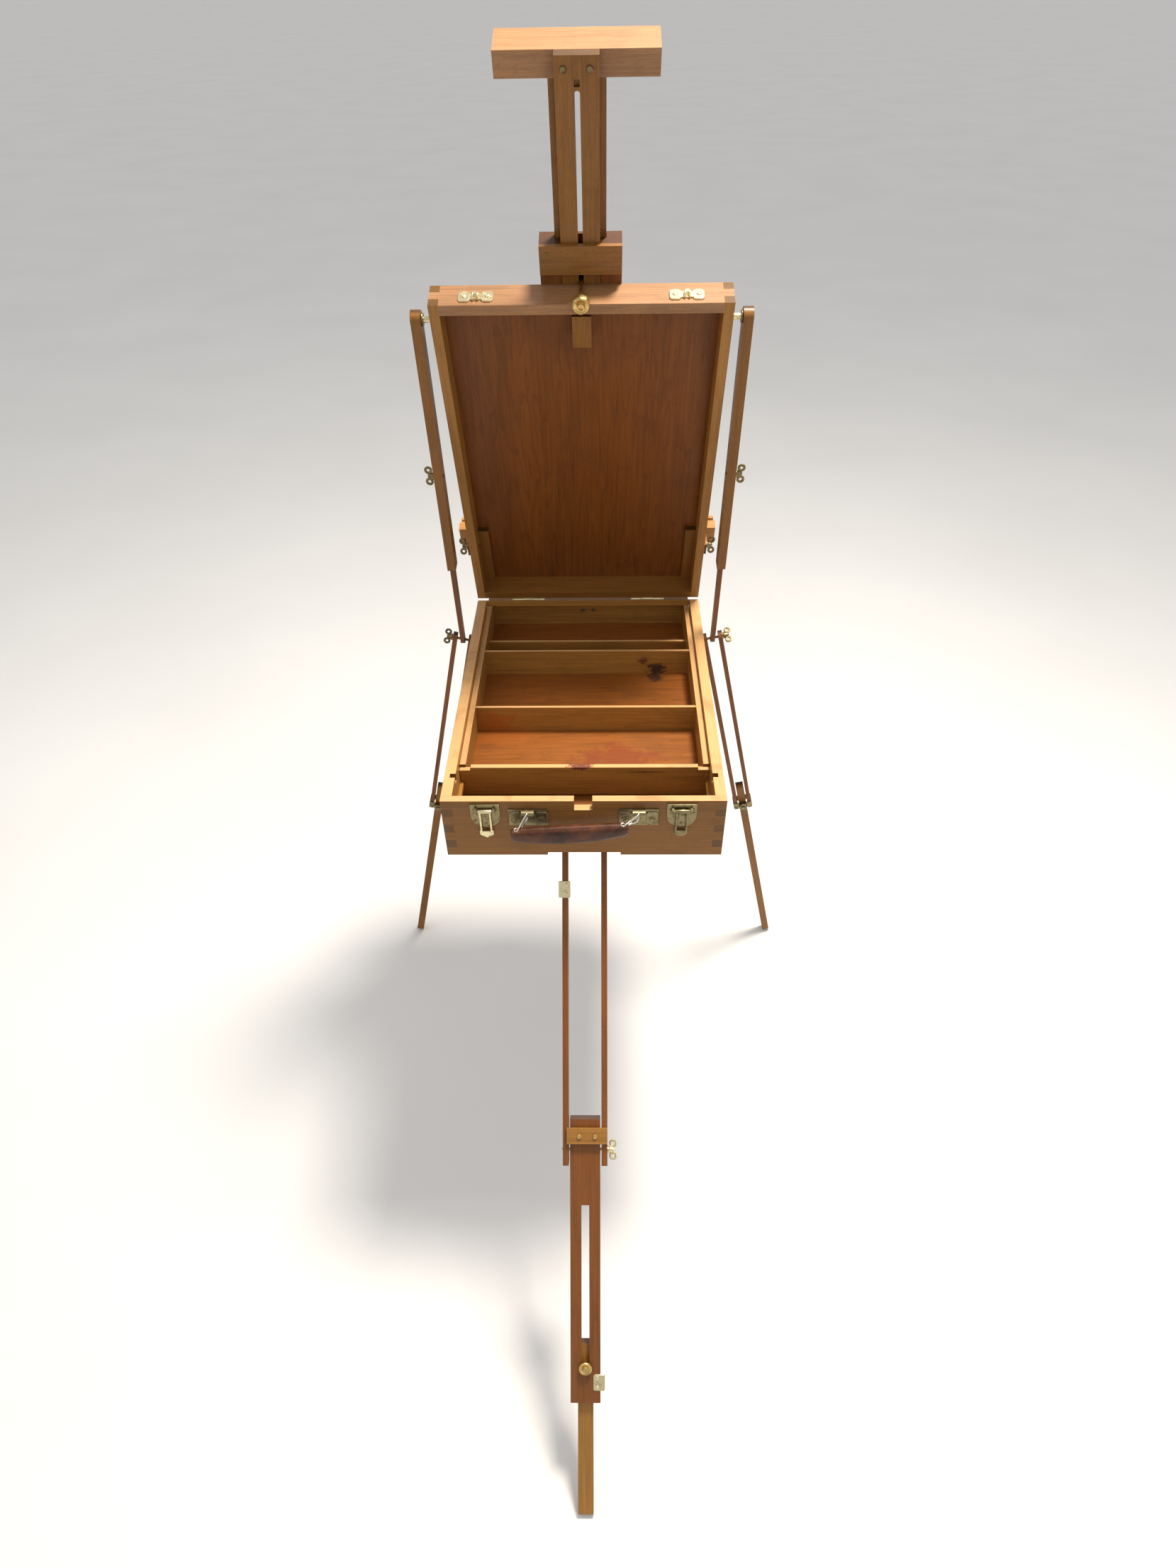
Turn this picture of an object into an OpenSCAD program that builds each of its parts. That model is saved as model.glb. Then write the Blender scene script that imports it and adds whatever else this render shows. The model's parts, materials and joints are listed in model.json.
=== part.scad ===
// Folding wooden box easel, standing open on three legs.
// Built in the box's own axes: X across, Y from the handle side to the painter's side, Z up.

/* [Box] */
// Width of the box
box_w = 406; // [380:1:430]
// Depth of the box, handle side to painter's side
box_d = 560; // [540:1:590]
// Height of the box walls
box_h = 106; // [100:1:116]
// Thickness of the side walls
wall_t = 16; // [14:1:18]
// Distance the tray stands out from closed
tray_out = 32; // [0:1:60]

/* [Lid] */
// Depth of the lid
lid_t = 44; // [40:1:50]
// Angle the open lid leans back over the box, from upright
lid_lean = 18.7; // [10:0.1:25]
// Height of the canvas ledge up the lid
ledge_up = 112; // [100:1:200]
// Height of the mast head above the hinge, along the lid
mast_up = 818; // [780:1:860]

/* [Legs] */
// Height of the box underside above the floor
box_up = 800; // [760:1:840]
// Sideways splay of the side legs
side_splay = 13.2; // [10:0.1:15]
// Backward lean of the side legs
side_back = 4.4; // [0:0.1:6]
// Lean of the front leg from upright
front_lean = 41.9; // [36:0.1:44]

/* [Hidden] */
$fn = 48;
gap = 0.3;
bolt_play = 0.08;

// Box
half_w = box_w / 2;
inner_w = half_w - wall_t;
front_t = 12;
fingers = 7;
finger_h = box_h / fingers;
bottom_z = 33;
bottom_t = 5;
rail_h = 10;
rail_d = 4;
notch_w = 26;
notch_h = 17;
relief_w = 108;
relief_h = 5;
hook_notch = [8, 9, 12];
hook_notch_y = 52;

// Tray
tray_z = 41;
tray_floor_t = 5;
tray_top = 94;
tray_side_t = 9;
tray_half_w = inner_w - 0.6;
tray_panel_t = 8;
tray_front_t = 14;
tray_front_y = box_d - tray_front_t + tray_out;
tray_near_y = 57 + tray_out;
divider_t = 5;
divider_ys = [211, 376, 446];
divider_tops = [92, 92, 68];
runner_z = 60;
runner_h = 8;
runner_out = 5;
pull_w = 90;
pull_d = 16;

// Lid
hinge_r = 3;
hinge_y = box_d + hinge_r + gap;
lid_start = hinge_r + gap;
lid_l = box_d;
lid_end = lid_start + lid_l;
lid_wall = 14;
lid_panel_t = 5;
lid_angle = 90 + lid_lean;
lid_fingers = 3;
hinge_x = 110;
hinge_l = 60;
leaf_t = 1.2;
pin_r = 1.2;
pin_play = 0.06;

// Latches, handle
latch_x = 140;
latch_z = 79;
latch_r = 21;
latch_pin_y = -5;
latch_pin_z = 91;
latch_pin_r = 1.4;
plate_t = 1.6;
ear_t = 3;
loop_w = 20;
loop_l = 50;
loop_t = 3;
loop_tip = 12;
bracket_x = 79;
bracket_z = 77;
bracket_size = [56, 2, 30];
rivet_x = 19;
grip_x = -18;
grip_half = 82;
handle_pin_y = -7;
handle_pin_z = 88;
ring_half = 13;
wire_r = 1.5;
grip_drop = 24;
grip_out = 17;
grip_r = 8;
grip_h = 18;
grip_waist = 1;
strand_t = 2.4;

// Struts
strut_x = 225;
strut_foot = [478, 75];
strut_head_v = 527;
strut_head_off = lid_t / 2;
strut_bar_t = 7.4;
strut_bar_w = 15;
strut_chan_t = 14;
strut_chan_w = 24;
strut_step = 152;
strut_bar_l = 392;
strut_end_r = 12;
strut_nut_s = 316;
thumb_r = 2.9;
strut_slot = [206, 330];
strut_slot_w = 6.8;
strut_foot_r = 4.4;
strut_head_y = hinge_y - sin(lid_lean) * (strut_head_v + lid_start) + cos(lid_lean) * strut_head_off;
strut_head_z = box_h + cos(lid_lean) * (strut_head_v + lid_start) + sin(lid_lean) * strut_head_off;
strut_l = norm([strut_head_y - strut_foot[0], strut_head_z - strut_foot[1]]);
strut_lean = atan2(strut_foot[0] - strut_head_y, strut_head_z - strut_foot[1]);

// Mast
stem_w = 51;
tongue_w = 67;
stem_front = [lid_t + gap, 57.7];
stem_rear = [58, 66];
stem_bottom = 420;
slot_w = 6.6;
slot_low = stem_bottom + 24;
slot_high = mast_up - 37;
notch_gap = 7;
notch_deep = 4;
guide_w = 108;
guide_bottom = 300;
guide_top = 616;
guide_back_t = 5;
bridge_h = 37;
bridge_t = 6;
head_l = 189;
head_d = 51;
head_h = 27;
clamp_v = lid_end + 3.6;
knob_r = 11.5;

// Ledge
ledge_half = 224;
ledge_bar = [lid_t + 0.6, lid_t + 18.6];
ledge_h = 34;
shelf_out = 26;
shelf_t = 12;
lip_h = 8;
lip_t = 6;
shelf_groove = 1.2;
arm_t = 5;
arm_w = 22;
ledge_slot = [80, 250];

// Side legs
leg_gap = 20;
rail_t = 8;
leg_depth = 21;
leg_x = strut_x;
leg_rail_l = 446;
collar_s = 428;
collar_h = 14;
strap_t = 1.5;
knob_screw_r = 2.5;
leg_knob_r = 8.5;
knob_h = 9;
foot_w = 15.4;
foot_d = 18;
foot_top = 388;
foot_r = 9;
side_bolt_r = 3;
leg_pivot = [leg_x, strut_foot[0], strut_foot[1]];
side_dz = -cos(side_splay) * cos(side_back);
side_low = foot_r * cos(side_splay) + foot_w / 2 * sin(side_splay);
side_leg_l = (leg_pivot[2] + box_up - side_low) / -side_dz;

// Front leg
front_pivot = [61, 12];
front_gap = 50;
front_rail_t = 9;
front_depth = 24;
front_rail_l = 526;
front_bolt_r = 4;
cross_s = [467, 491];
knee_s = 505;
board_top = 455;
board_end = 895;
board_w = 46;
board_d = 18;
slot_s = [588, 842];
groove_w = 25;
front_slot_w = 12;
front_foot_top = 808;
front_foot_w = 24;
front_foot_r = 7.85;
front_knob_s = 838;
front_knob_r = 10;
front_foot_mid = front_foot_r + gap;
front_leg_l = (front_pivot[1] + box_up - front_foot_r - front_foot_mid * sin(front_lean)) / cos(front_lean);

// Where the part's own origin lies, from the box's
front_toe_y = front_pivot[0] - front_leg_l * sin(front_lean) + front_foot_mid * cos(front_lean)
    - front_foot_r;
ledge_shelf_off = ledge_bar[1] + shelf_out;
pull_back_y = tray_front_y + tray_front_t + pull_d;
ledge_back_y = hinge_y + ledge_shelf_off * cos(lid_lean)
    - (ledge_up - ledge_h / 2) * sin(lid_lean);
back_y = max(pull_back_y, ledge_back_y);
mid_y = (front_toe_y + back_y) / 2;

module in_box() {
    translate([0, -mid_y, box_up]) children();
}

// Lid axes: Y up the lid from the hinge, Z towards its open side.
module in_lid() {
    in_box() translate([0, hinge_y, box_h]) rotate([lid_angle, 0, 0]) children();
}

// Front leg axes: Z down the leg from its pivot, Y towards the leg's back.
module in_front_leg() {
    in_box() translate([0, front_pivot[0], front_pivot[1]]) rotate([180 - front_lean, 0, 0])
        mirror([0, 1, 0]) children();
}

// Side leg axes: X out along the bolt, Z down the leg from its pivot.
module in_side_leg(side) {
    in_box() side_mirror(side) translate(leg_pivot) rotate([0, -side_splay, 0])
        rotate([180 + side_back, 0, 0]) children();
}

// Strut axes: Z up the strut from its foot.
module in_strut(side) {
    in_box() side_mirror(side) translate([strut_x, strut_foot[0], strut_foot[1]])
        rotate([strut_lean, 0, 0]) children();
}

module side_mirror(side) {
    if (side < 0)
        mirror([1, 0, 0]) children();
    else
        children();
}

module both_sides() {
    for (side = [-1, 1])
        side_mirror(side) children();
}

// A box from its lowest to its highest corner.
module block(low, high) {
    translate(low) cube(high - low);
}

module rod_x(r, x0, x1) {
    translate([x0, 0, 0]) rotate([0, 90, 0]) cylinder(r = r, h = x1 - x0);
}

// Wing nut standing along +Z from its seat, wings across X.
module wing_nut() {
    cylinder(r = 6, h = 3);
    cylinder(r = 4.4, h = 9);
    for (side = [-1, 1])
        translate([side * 9.5, 0, 9]) rotate([90, 0, 0]) translate([0, 0, -1.3]) difference() {
            cylinder(r = 6.5, h = 2.6);
            translate([0, 0, -1]) cylinder(r = 2.4, h = 4.6);
        }
}

module screw_head() {
    cylinder(r = 3.4, h = 1);
}

// Box

module box_front_wall() {
    color("peru") in_box() difference() {
        block([-half_w, 0, 0], [half_w, front_t, box_h]);
        both_sides() for (i = [1 : 2 : fingers - 1])
            block([inner_w, -1, i * finger_h], [half_w + 1, front_t + 1, (i + 1) * finger_h]);
        block([-notch_w / 2, -1, box_h - notch_h], [notch_w / 2, front_t + 1, box_h + 1]);
        block([-relief_w / 2, -1, -1], [relief_w / 2, front_t + 1, relief_h]);
    }
}

module side_wall() {
    in_box() difference() {
        block([inner_w, 0, 0], [half_w, box_d, box_h]);
        for (i = [0 : 2 : fingers - 1])
            block([inner_w - 1, -1, i * finger_h - (i == 0 ? 1 : 0)],
                [half_w + 1, front_t, (i + 1) * finger_h + (i == fingers - 1 ? 1 : 0)]);
        block([inner_w - 1, hook_notch_y, box_h - hook_notch[2]],
            [inner_w + hook_notch[0], hook_notch_y + hook_notch[1], box_h + 1]);
    }
}

module box_left_wall() {
    color("burlywood") mirror([1, 0, 0]) side_wall();
}

module box_right_wall() {
    color("burlywood") side_wall();
}

module box_bottom() {
    color("sienna") in_box() block([-inner_w, front_t, bottom_z], [inner_w, box_d - 2, bottom_z + bottom_t]);
}

module hinge_rail() {
    color("peru") in_box() block([-inner_w, box_d - rail_d, box_h - rail_h], [inner_w, box_d, box_h]);
}

module tray_runners() {
    color("burlywood") in_box() both_sides()
        block([inner_w - runner_out, 14, runner_z], [inner_w, box_d - 18, runner_z + runner_h]);
}

module hinge_knuckle(x0, x1) {
    difference() {
        rod_x(hinge_r, x0, x1);
        rod_x(pin_r + pin_play, x0 - 1, x1 + 1);
    }
}

module box_hinge_leaves() {
    color("goldenrod") in_box() for (side = [-1, 1])
        translate([side * hinge_x, hinge_y, box_h]) {
            for (x = [-hinge_l / 2, hinge_l / 6 + gap])
                hinge_knuckle(x, x + hinge_l / 3 - gap);
            for (x = [-hinge_l / 2, hinge_l / 6 + gap])
                difference() {
                    block([x, -lid_start, -rail_h + 1], [x + hinge_l / 3 - gap, -lid_start + leaf_t, 0]);
                    rod_x(pin_r + pin_play, -hinge_l, hinge_l);
                }
            block([-hinge_l / 2, -lid_start, -rail_h + 1],
                [hinge_l / 2, -lid_start + leaf_t, -hinge_r - 1.5]);
        }
}

module lid_hinge_leaves() {
    color("goldenrod") in_lid() for (side = [-1, 1])
        translate([side * hinge_x, 0, 0]) {
            hinge_knuckle(-hinge_l / 6 + gap, hinge_l / 6 - gap);
            difference() {
                block([-hinge_l / 6 + gap, lid_start - leaf_t, -10], [hinge_l / 6 - gap, lid_start, 0]);
                rod_x(pin_r + pin_play, -hinge_l, hinge_l);
            }
            block([-hinge_l / 2, lid_start - leaf_t, -20], [hinge_l / 2, lid_start, -hinge_r - 1.5]);
        }
}

module lid_hinge_pins() {
    color("silver") in_box() for (side = [-1, 1])
        translate([side * hinge_x, hinge_y, box_h]) rod_x(pin_r, -hinge_l / 2, hinge_l / 2);
}

// Front wall fittings

module latch_plate() {
    in_box() translate([latch_x, 0, latch_z]) {
        rotate([90, 0, 0]) linear_extrude(plate_t) {
            circle(r = latch_r);
            translate([-latch_r, 0]) square([2 * latch_r, latch_r + 1]);
        }
        translate([0, latch_pin_y, latch_pin_z - latch_z]) {
            for (x = [-loop_w / 2 - ear_t - 1.6, loop_w / 2 + 1.6])
                block([x, -3, -5], [x + ear_t, -latch_pin_y - plate_t, 5]);
            rod_x(latch_pin_r, -loop_w / 2 - 1.6, loop_w / 2 + 1.6);
        }
    }
}

module latch_plates() {
    color("darkkhaki") both_sides() latch_plate();
}

// Sprung loop that hangs from the latch pin and hooks over the lid's catch.
module latch_loop() {
    in_box() translate([latch_x, latch_pin_y, latch_pin_z]) {
        difference() {
            union() {
                rod_x(2 * latch_pin_r, -loop_w / 2, loop_w / 2);
                block([-loop_w / 2, -loop_t / 2, -loop_l], [loop_w / 2, loop_t / 2, 0]);
            }
            rod_x(latch_pin_r + pin_play, -loop_w, loop_w);
            block([-loop_w / 2 + 4, -loop_t, -loop_l + loop_tip], [loop_w / 2 - 4, loop_t, -5]);
        }
    }
}

module left_latch_loop() {
    color("khaki") mirror([1, 0, 0]) latch_loop();
}

module right_latch_loop() {
    color("khaki") latch_loop();
}

module handle_brackets() {
    color("darkkhaki") in_box() for (side = [-1, 1])
        translate([side * bracket_x, 0, bracket_z]) {
            block([-bracket_size[0] / 2, -bracket_size[1], -bracket_size[2] / 2],
                [bracket_size[0] / 2, 0, bracket_size[2] / 2]);
            translate([0, handle_pin_y, handle_pin_z - bracket_z]) difference() {
                union() {
                    rod_x(4.5, -9, 9);
                    block([-9, 0, -4.5], [9, -handle_pin_y - bracket_size[1], 4.5]);
                }
                rod_x(wire_r + bolt_play, -10, 10);
            }
            for (x = [-rivet_x, rivet_x])
                translate([x, -bracket_size[1], -3]) rotate([90, 0, 0]) cylinder(r = 6, h = plate_t);
        }
}

// Grip with the two wire rings that hang it from the brackets.
module handle_grip() {
    ring_lean = atan2(grip_out, grip_drop);
    ring_l = norm([grip_out, grip_drop]);
    color("saddlebrown") in_box() translate([0, handle_pin_y, handle_pin_z]) {
        for (side = [-1, 1])
            translate([side * bracket_x, 0, 0]) {
                rod_x(wire_r, -ring_half, ring_half);
                for (x = [-ring_half, ring_half])
                    translate([x, 0, 0]) rotate([-ring_lean, 0, 0])
                        block([-strand_t / 2, -strand_t / 2, -ring_l], [strand_t / 2, strand_t / 2, 0]);
            }
        translate([0, -grip_out, -grip_drop]) {
            translate([grip_x - grip_half, 0, 0]) rotate([0, 90, 0]) linear_extrude(2 * grip_half) {
                for (z = [-grip_h / 2, grip_h / 2])
                    translate([z, 0]) circle(r = grip_r);
                square([grip_h, 2 * grip_r - grip_waist], center = true);
            }
            rod_x(2 * wire_r, -bracket_x - ring_half - wire_r, bracket_x + ring_half + wire_r);
        }
    }
}

// Tray

module tray_near_panel() {
    color("peru") in_box() difference() {
        block([-tray_half_w, tray_near_y, tray_z], [tray_half_w, tray_near_y + tray_panel_t, tray_top]);
        both_sides() block([tray_half_w - 17, tray_near_y - 1, tray_top - 5],
            [tray_half_w + 1, tray_near_y + tray_panel_t + 1, tray_top + 1]);
        both_sides() runner_groove();
    }
}

module tray_front_panel() {
    color("peru") in_box() block([-tray_half_w, tray_front_y, tray_z],
        [tray_half_w, tray_front_y + tray_front_t, tray_top]);
}

module tray_pull() {
    color("sienna") in_box() {
        translate([0, tray_front_y + tray_front_t, (tray_z + tray_top) / 2])
            block([-pull_w / 2, 0, -8], [pull_w / 2, pull_d, 8]);
        for (x = [-10, 10])
            translate([x, tray_front_y, (tray_z + tray_top) / 2 + 8]) rotate([90, 0, 0]) screw_head();
    }
}

module runner_groove() {
    block([inner_w - runner_out - 0.5, -1, runner_z - 0.5],
        [inner_w + 1, box_d + tray_out, runner_z + runner_h + 0.5]);
}

module tray_sides() {
    color("burlywood") in_box() both_sides() difference() {
        block([tray_half_w - tray_side_t, tray_near_y + tray_panel_t, tray_z],
            [tray_half_w, tray_front_y, tray_top]);
        runner_groove();
    }
}

module tray_floor() {
    color("sienna") in_box() block([-tray_half_w + tray_side_t, tray_near_y + tray_panel_t, tray_z],
        [tray_half_w - tray_side_t, tray_front_y, tray_z + tray_floor_t]);
}

module tray_dividers() {
    color("peru") in_box() for (i = [0 : len(divider_ys) - 1])
        block([-tray_half_w + tray_side_t, divider_ys[i] + tray_out, tray_z + tray_floor_t],
            [tray_half_w - tray_side_t, divider_ys[i] + tray_out + divider_t, divider_tops[i]]);
}

// Lid

module lid_end_wall(y) {
    finger = lid_t / lid_fingers;
    difference() {
        block([-half_w, y, -lid_t], [half_w, y + lid_wall, 0]);
        both_sides() for (i = [0 : 2 : lid_fingers - 1])
            block([half_w - lid_wall, y - 1, -finger * (i + 1) - (i > 0 ? 1 : 0)],
                [half_w + 1, y + lid_wall + 1, -finger * i + (i == 0 ? 1 : 0)]);
        children();
    }
}

module lid_top_wall() {
    color("burlywood") in_lid() lid_end_wall(lid_end - lid_wall);
}

module lid_bottom_wall() {
    color("peru") in_lid() lid_end_wall(lid_start);
}

module lid_side_wall() {
    finger = lid_t / lid_fingers;
    in_lid() difference() {
        block([half_w - lid_wall, lid_start, -lid_t], [half_w, lid_end, 0]);
        for (y = [lid_start, lid_end - lid_wall])
            block([half_w - lid_wall - 1, y, -2 * finger], [half_w + 1, y + lid_wall, -finger]);
        block([half_w - lid_wall - 1, ledge_slot[0], -lid_t / 2 - 3.2],
            [half_w + 1, ledge_slot[1], -lid_t / 2 + 3.2]);
    }
}

module lid_side_walls() {
    color("burlywood") both_sides() lid_side_wall();
}

module lid_panel() {
    color("sienna") in_lid() block([-half_w + lid_wall, lid_start + lid_wall, -lid_t],
        [half_w - lid_wall, lid_end - lid_wall, -lid_t + lid_panel_t]);
}

module lid_inner_blocks() {
    color("burlywood") in_lid() {
        block([-13, 492, -lid_t + lid_panel_t], [13, 537, -14]);
        both_sides() block([half_w - lid_wall - 18, lid_start + lid_wall, -lid_t + lid_panel_t],
            [half_w - lid_wall, 139, -29]);
    }
}

module lid_catch_plates() {
    color("khaki") in_lid() both_sides() translate([latch_x, lid_end, 0]) {
        block([-23, 0, -31], [23, 1.6, -3]);
        block([-5, 1.6, -17], [5, 5, -14]);
        block([-5, 5, -20.5], [5, 7, -14]);
        for (x = [-16, 16])
            translate([x, 1.6, -17]) rotate([-90, 0, 0]) screw_head();
    }
}

module strut_brackets() {
    color("goldenrod") in_lid() both_sides()
        translate([half_w, strut_head_v + lid_start, -strut_head_off]) {
            block([0, -24, -8], [2, 14, 8]);
            rod_x(4, 2, strut_x - strut_chan_t / 2 - half_w - 0.5);
        }
}

// Mast

module mast_guide() {
    color("sienna") in_lid() {
        both_sides() difference() {
            block([stem_w / 2 + 0.5, guide_bottom, -stem_rear[1] - 0.6], [guide_w / 2, guide_top, -lid_t]);
            block([0, guide_bottom - 1, -stem_rear[1] - 1],
                [tongue_w / 2 + 0.5, guide_top + 1, -stem_rear[0] + 0.4]);
        }
        block([-guide_w / 2, guide_bottom, -stem_rear[1] - 0.6 - guide_back_t],
            [guide_w / 2, guide_top, -stem_rear[1] - 0.6]);
    }
}

module mast_bridge() {
    color("peru") in_lid() {
        block([-guide_w / 2, guide_top - bridge_h, -lid_t], [guide_w / 2, guide_top, -lid_t + bridge_t]);
        for (x = [-43, 43])
            for (y = [8, 28])
                translate([x, guide_top - bridge_h + y, -lid_t + bridge_t]) cylinder(r = 1.4, h = 0.5);
    }
}

module mast_stem() {
    color("sienna") in_lid() difference() {
        union() {
            block([-stem_w / 2, stem_bottom, -stem_rear[0]], [stem_w / 2, mast_up, -stem_front[0]]);
            block([-tongue_w / 2, stem_bottom, -stem_rear[1]],
                [tongue_w / 2, mast_up - head_h, -stem_rear[0]]);
        }
        block([-slot_w / 2, slot_low, -stem_rear[1] - 1], [slot_w / 2, slot_high, -stem_front[0] + 1]);
        for (y = [slot_low, slot_high])
            translate([0, y, -stem_rear[1] - 1]) cylinder(r = slot_w / 2, h = stem_rear[1]);
        block([-slot_w / 2, slot_high + notch_gap, -stem_front[0] - notch_deep],
            [slot_w / 2, slot_high + 2 * notch_gap, -stem_front[0] + 1]);
    }
}

module mast_head() {
    color("burlywood") in_lid() {
        block([-head_l / 2, mast_up - head_h, -stem_rear[0] - head_d], [head_l / 2, mast_up, -stem_rear[0]]);
        for (x = [-15, 15])
            translate([x, mast_up - 13, -stem_front[0]]) cylinder(r = 3.4, h = 0.8);
    }
}

// Knob, screw and square nut that lock the mast stem against the lid's top wall.
module mast_clamp_knob() {
    color("gold") in_lid() translate([0, clamp_v, 0]) {
        translate([0, 0, -stem_rear[1] - 0.3]) cylinder(r = 2.9, h = stem_rear[1] + 8);
        translate([0, 0, 2]) cylinder(r = knob_r, h = 11);
        translate([0, 0, 0.5]) cylinder(r = 7, h = 1.5);
    }
}

// Canvas ledge

module canvas_ledge() {
    low = ledge_up - ledge_h / 2;
    lip_z = -ledge_shelf_off + lip_t;
    color("peru") in_lid() difference() {
        union() {
            block([-ledge_half, low, -ledge_bar[1]], [ledge_half, low + ledge_h, -ledge_bar[0]]);
            block([-ledge_half, low, -ledge_shelf_off], [ledge_half, low + shelf_t, -ledge_bar[1]]);
            block([-ledge_half, low + shelf_t, -ledge_shelf_off], [ledge_half, low + shelf_t + lip_h, lip_z]);
        }
        for (z = [lip_z, -ledge_bar[1] - shelf_groove])
            block([-ledge_half - 1, low + shelf_t - shelf_groove, z],
                [ledge_half + 1, low + shelf_t, z + shelf_groove]);
    }
}

module ledge_arms() {
    color("burlywood") in_lid() both_sides() translate([half_w + gap, ledge_up, 0]) difference() {
        block([0, -arm_w / 2, -ledge_bar[0]], [arm_t, arm_w / 2, -lid_t / 2 + arm_w / 2]);
        translate([0, 0, -lid_t / 2]) rod_x(thumb_r + bolt_play, -1, arm_t + 1);
    }
}

module ledge_wing_nut() {
    in_lid() translate([0, ledge_up, -lid_t / 2]) {
        rod_x(thumb_r, half_w - lid_wall - 3, half_w + gap + arm_t);
        rod_x(2 * thumb_r, half_w - lid_wall - 3, half_w - lid_wall - gap);
        translate([half_w + gap + arm_t, 0, 0]) rotate([0, 90, 0]) wing_nut();
    }
}

module left_ledge_wing_nut() {
    color("goldenrod") mirror([1, 0, 0]) ledge_wing_nut();
}

module right_ledge_wing_nut() {
    color("goldenrod") ledge_wing_nut();
}

// Struts

module strut_bar() {
    difference() {
        union() {
            block([-strut_bar_t / 2, -strut_bar_w / 2, 0], [strut_bar_t / 2, strut_bar_w / 2, strut_bar_l]);
            rod_x(strut_bar_w / 2, -strut_bar_t / 2, strut_bar_t / 2);
        }
        rod_x(strut_foot_r, -strut_bar_t, strut_bar_t);
        block([-strut_bar_t, -strut_slot_w / 2, strut_slot[0]],
            [strut_bar_t, strut_slot_w / 2, strut_slot[1]]);
    }
}

module left_strut_bar() {
    color("sienna") in_strut(-1) strut_bar();
}

module right_strut_bar() {
    color("sienna") in_strut(1) strut_bar();
}

module strut_channel() {
    difference() {
        union() {
            block([-strut_chan_t / 2, -strut_chan_w / 2, strut_step],
                [strut_chan_t / 2, strut_chan_w / 2, strut_l]);
            translate([0, 0, strut_l]) rod_x(strut_end_r, -strut_chan_t / 2, strut_chan_t / 2);
        }
        block([-strut_bar_t / 2 - 0.4, -strut_bar_w / 2 - 0.5, strut_step - 1],
            [strut_bar_t / 2 + 0.4, strut_bar_w / 2 + 0.5, strut_l - 40]);
        translate([0, 0, strut_nut_s]) rod_x(thumb_r + bolt_play, -strut_chan_t, strut_chan_t);
    }
}

module left_strut_channel() {
    color("sienna") in_strut(-1) strut_channel();
}

module right_strut_channel() {
    color("sienna") in_strut(1) strut_channel();
}

module strut_wing_nut() {
    translate([0, 0, strut_nut_s]) {
        rod_x(thumb_r, -strut_chan_t / 2 - 2, strut_chan_t / 2);
        rod_x(2 * thumb_r, -strut_chan_t / 2 - 2, -strut_chan_t / 2);
        translate([strut_chan_t / 2, 0, 0]) rotate([0, 90, 0]) wing_nut();
    }
}

module strut_wing_nuts_left() {
    color("goldenrod") in_strut(-1) strut_wing_nut();
}

module strut_wing_nuts_right() {
    color("goldenrod") in_strut(1) strut_wing_nut();
}

// Side legs

// Wedge between the box side and the leg, square to the leg's bolt.
module side_leg_blocks() {
    color("tan") in_box() both_sides() difference() {
        block([half_w, strut_foot[0] - 24, 22], [half_w + 22, strut_foot[0] + 24, box_h - 4]);
        translate(leg_pivot) rotate([0, -side_splay, 0])
            block([-leg_gap / 2 - rail_t - gap, -100, -150], [100, 100, 150]);
    }
}

module leg_rails() {
    for (x = [-leg_gap / 2 - rail_t, leg_gap / 2])
        difference() {
            union() {
                block([x, -leg_depth / 2, 0], [x + rail_t, leg_depth / 2, leg_rail_l]);
                rod_x(leg_depth / 2, x, x + rail_t);
            }
            rod_x(side_bolt_r + bolt_play, -40, 40);
        }
}

module left_leg_rails() {
    color("sienna") in_side_leg(-1) leg_rails();
}

module right_leg_rails() {
    color("sienna") in_side_leg(1) leg_rails();
}

// Metal strap round the ends of the rails.
module leg_collar() {
    out = leg_gap / 2 + rail_t;
    difference() {
        block([-out - strap_t, -leg_depth / 2 - strap_t, collar_s],
            [out + strap_t, leg_depth / 2 + strap_t, collar_s + collar_h]);
        block([-out, -leg_depth / 2, collar_s - 1], [out, leg_depth / 2, collar_s + collar_h + 1]);
        translate([0, 0, collar_s + collar_h / 2]) rotate([-90, 0, 0])
            cylinder(r = knob_screw_r + bolt_play, h = leg_depth);
    }
}

// Clamp knob whose screw bears on the foot bar.
module leg_knob() {
    translate([0, 0, collar_s + collar_h / 2]) rotate([-90, 0, 0]) {
        translate([0, 0, foot_d / 2 + gap])
            cylinder(r = knob_screw_r, h = leg_depth / 2 + strap_t - foot_d / 2);
        translate([0, 0, leg_depth / 2 + strap_t + gap]) cylinder(r = leg_knob_r, h = knob_h);
    }
}

module left_leg_collar() {
    color("darkkhaki") in_side_leg(-1) leg_collar();
}

module right_leg_collar() {
    color("darkkhaki") in_side_leg(1) leg_collar();
}

module foot_bar() {
    block([-foot_w / 2, -foot_d / 2, foot_top], [foot_w / 2, foot_d / 2, side_leg_l]);
    for (z = [foot_top, side_leg_l])
        translate([0, 0, z]) rod_x(foot_r, -foot_w / 2, foot_w / 2);
}

module left_leg_knob() {
    color("gold") in_side_leg(-1) leg_knob();
}

module right_leg_knob() {
    color("gold") in_side_leg(1) leg_knob();
}

module left_foot_bar() {
    color("peru") in_side_leg(-1) foot_bar();
}

module right_foot_bar() {
    color("peru") in_side_leg(1) foot_bar();
}

// Bolt fixed in the box, through rails and strut, with its wing nut.
module leg_wing_nut() {
    out = leg_gap / 2 + rail_t;
    rod_x(side_bolt_r, -out, out + 2 * gap);
    translate([out + 2 * gap, 0, 0]) rotate([0, 90, 0]) wing_nut();
}

module left_leg_wing_nut() {
    color("goldenrod") in_side_leg(-1) leg_wing_nut();
}

module right_leg_wing_nut() {
    color("goldenrod") in_side_leg(1) leg_wing_nut();
}

// Front leg

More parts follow.
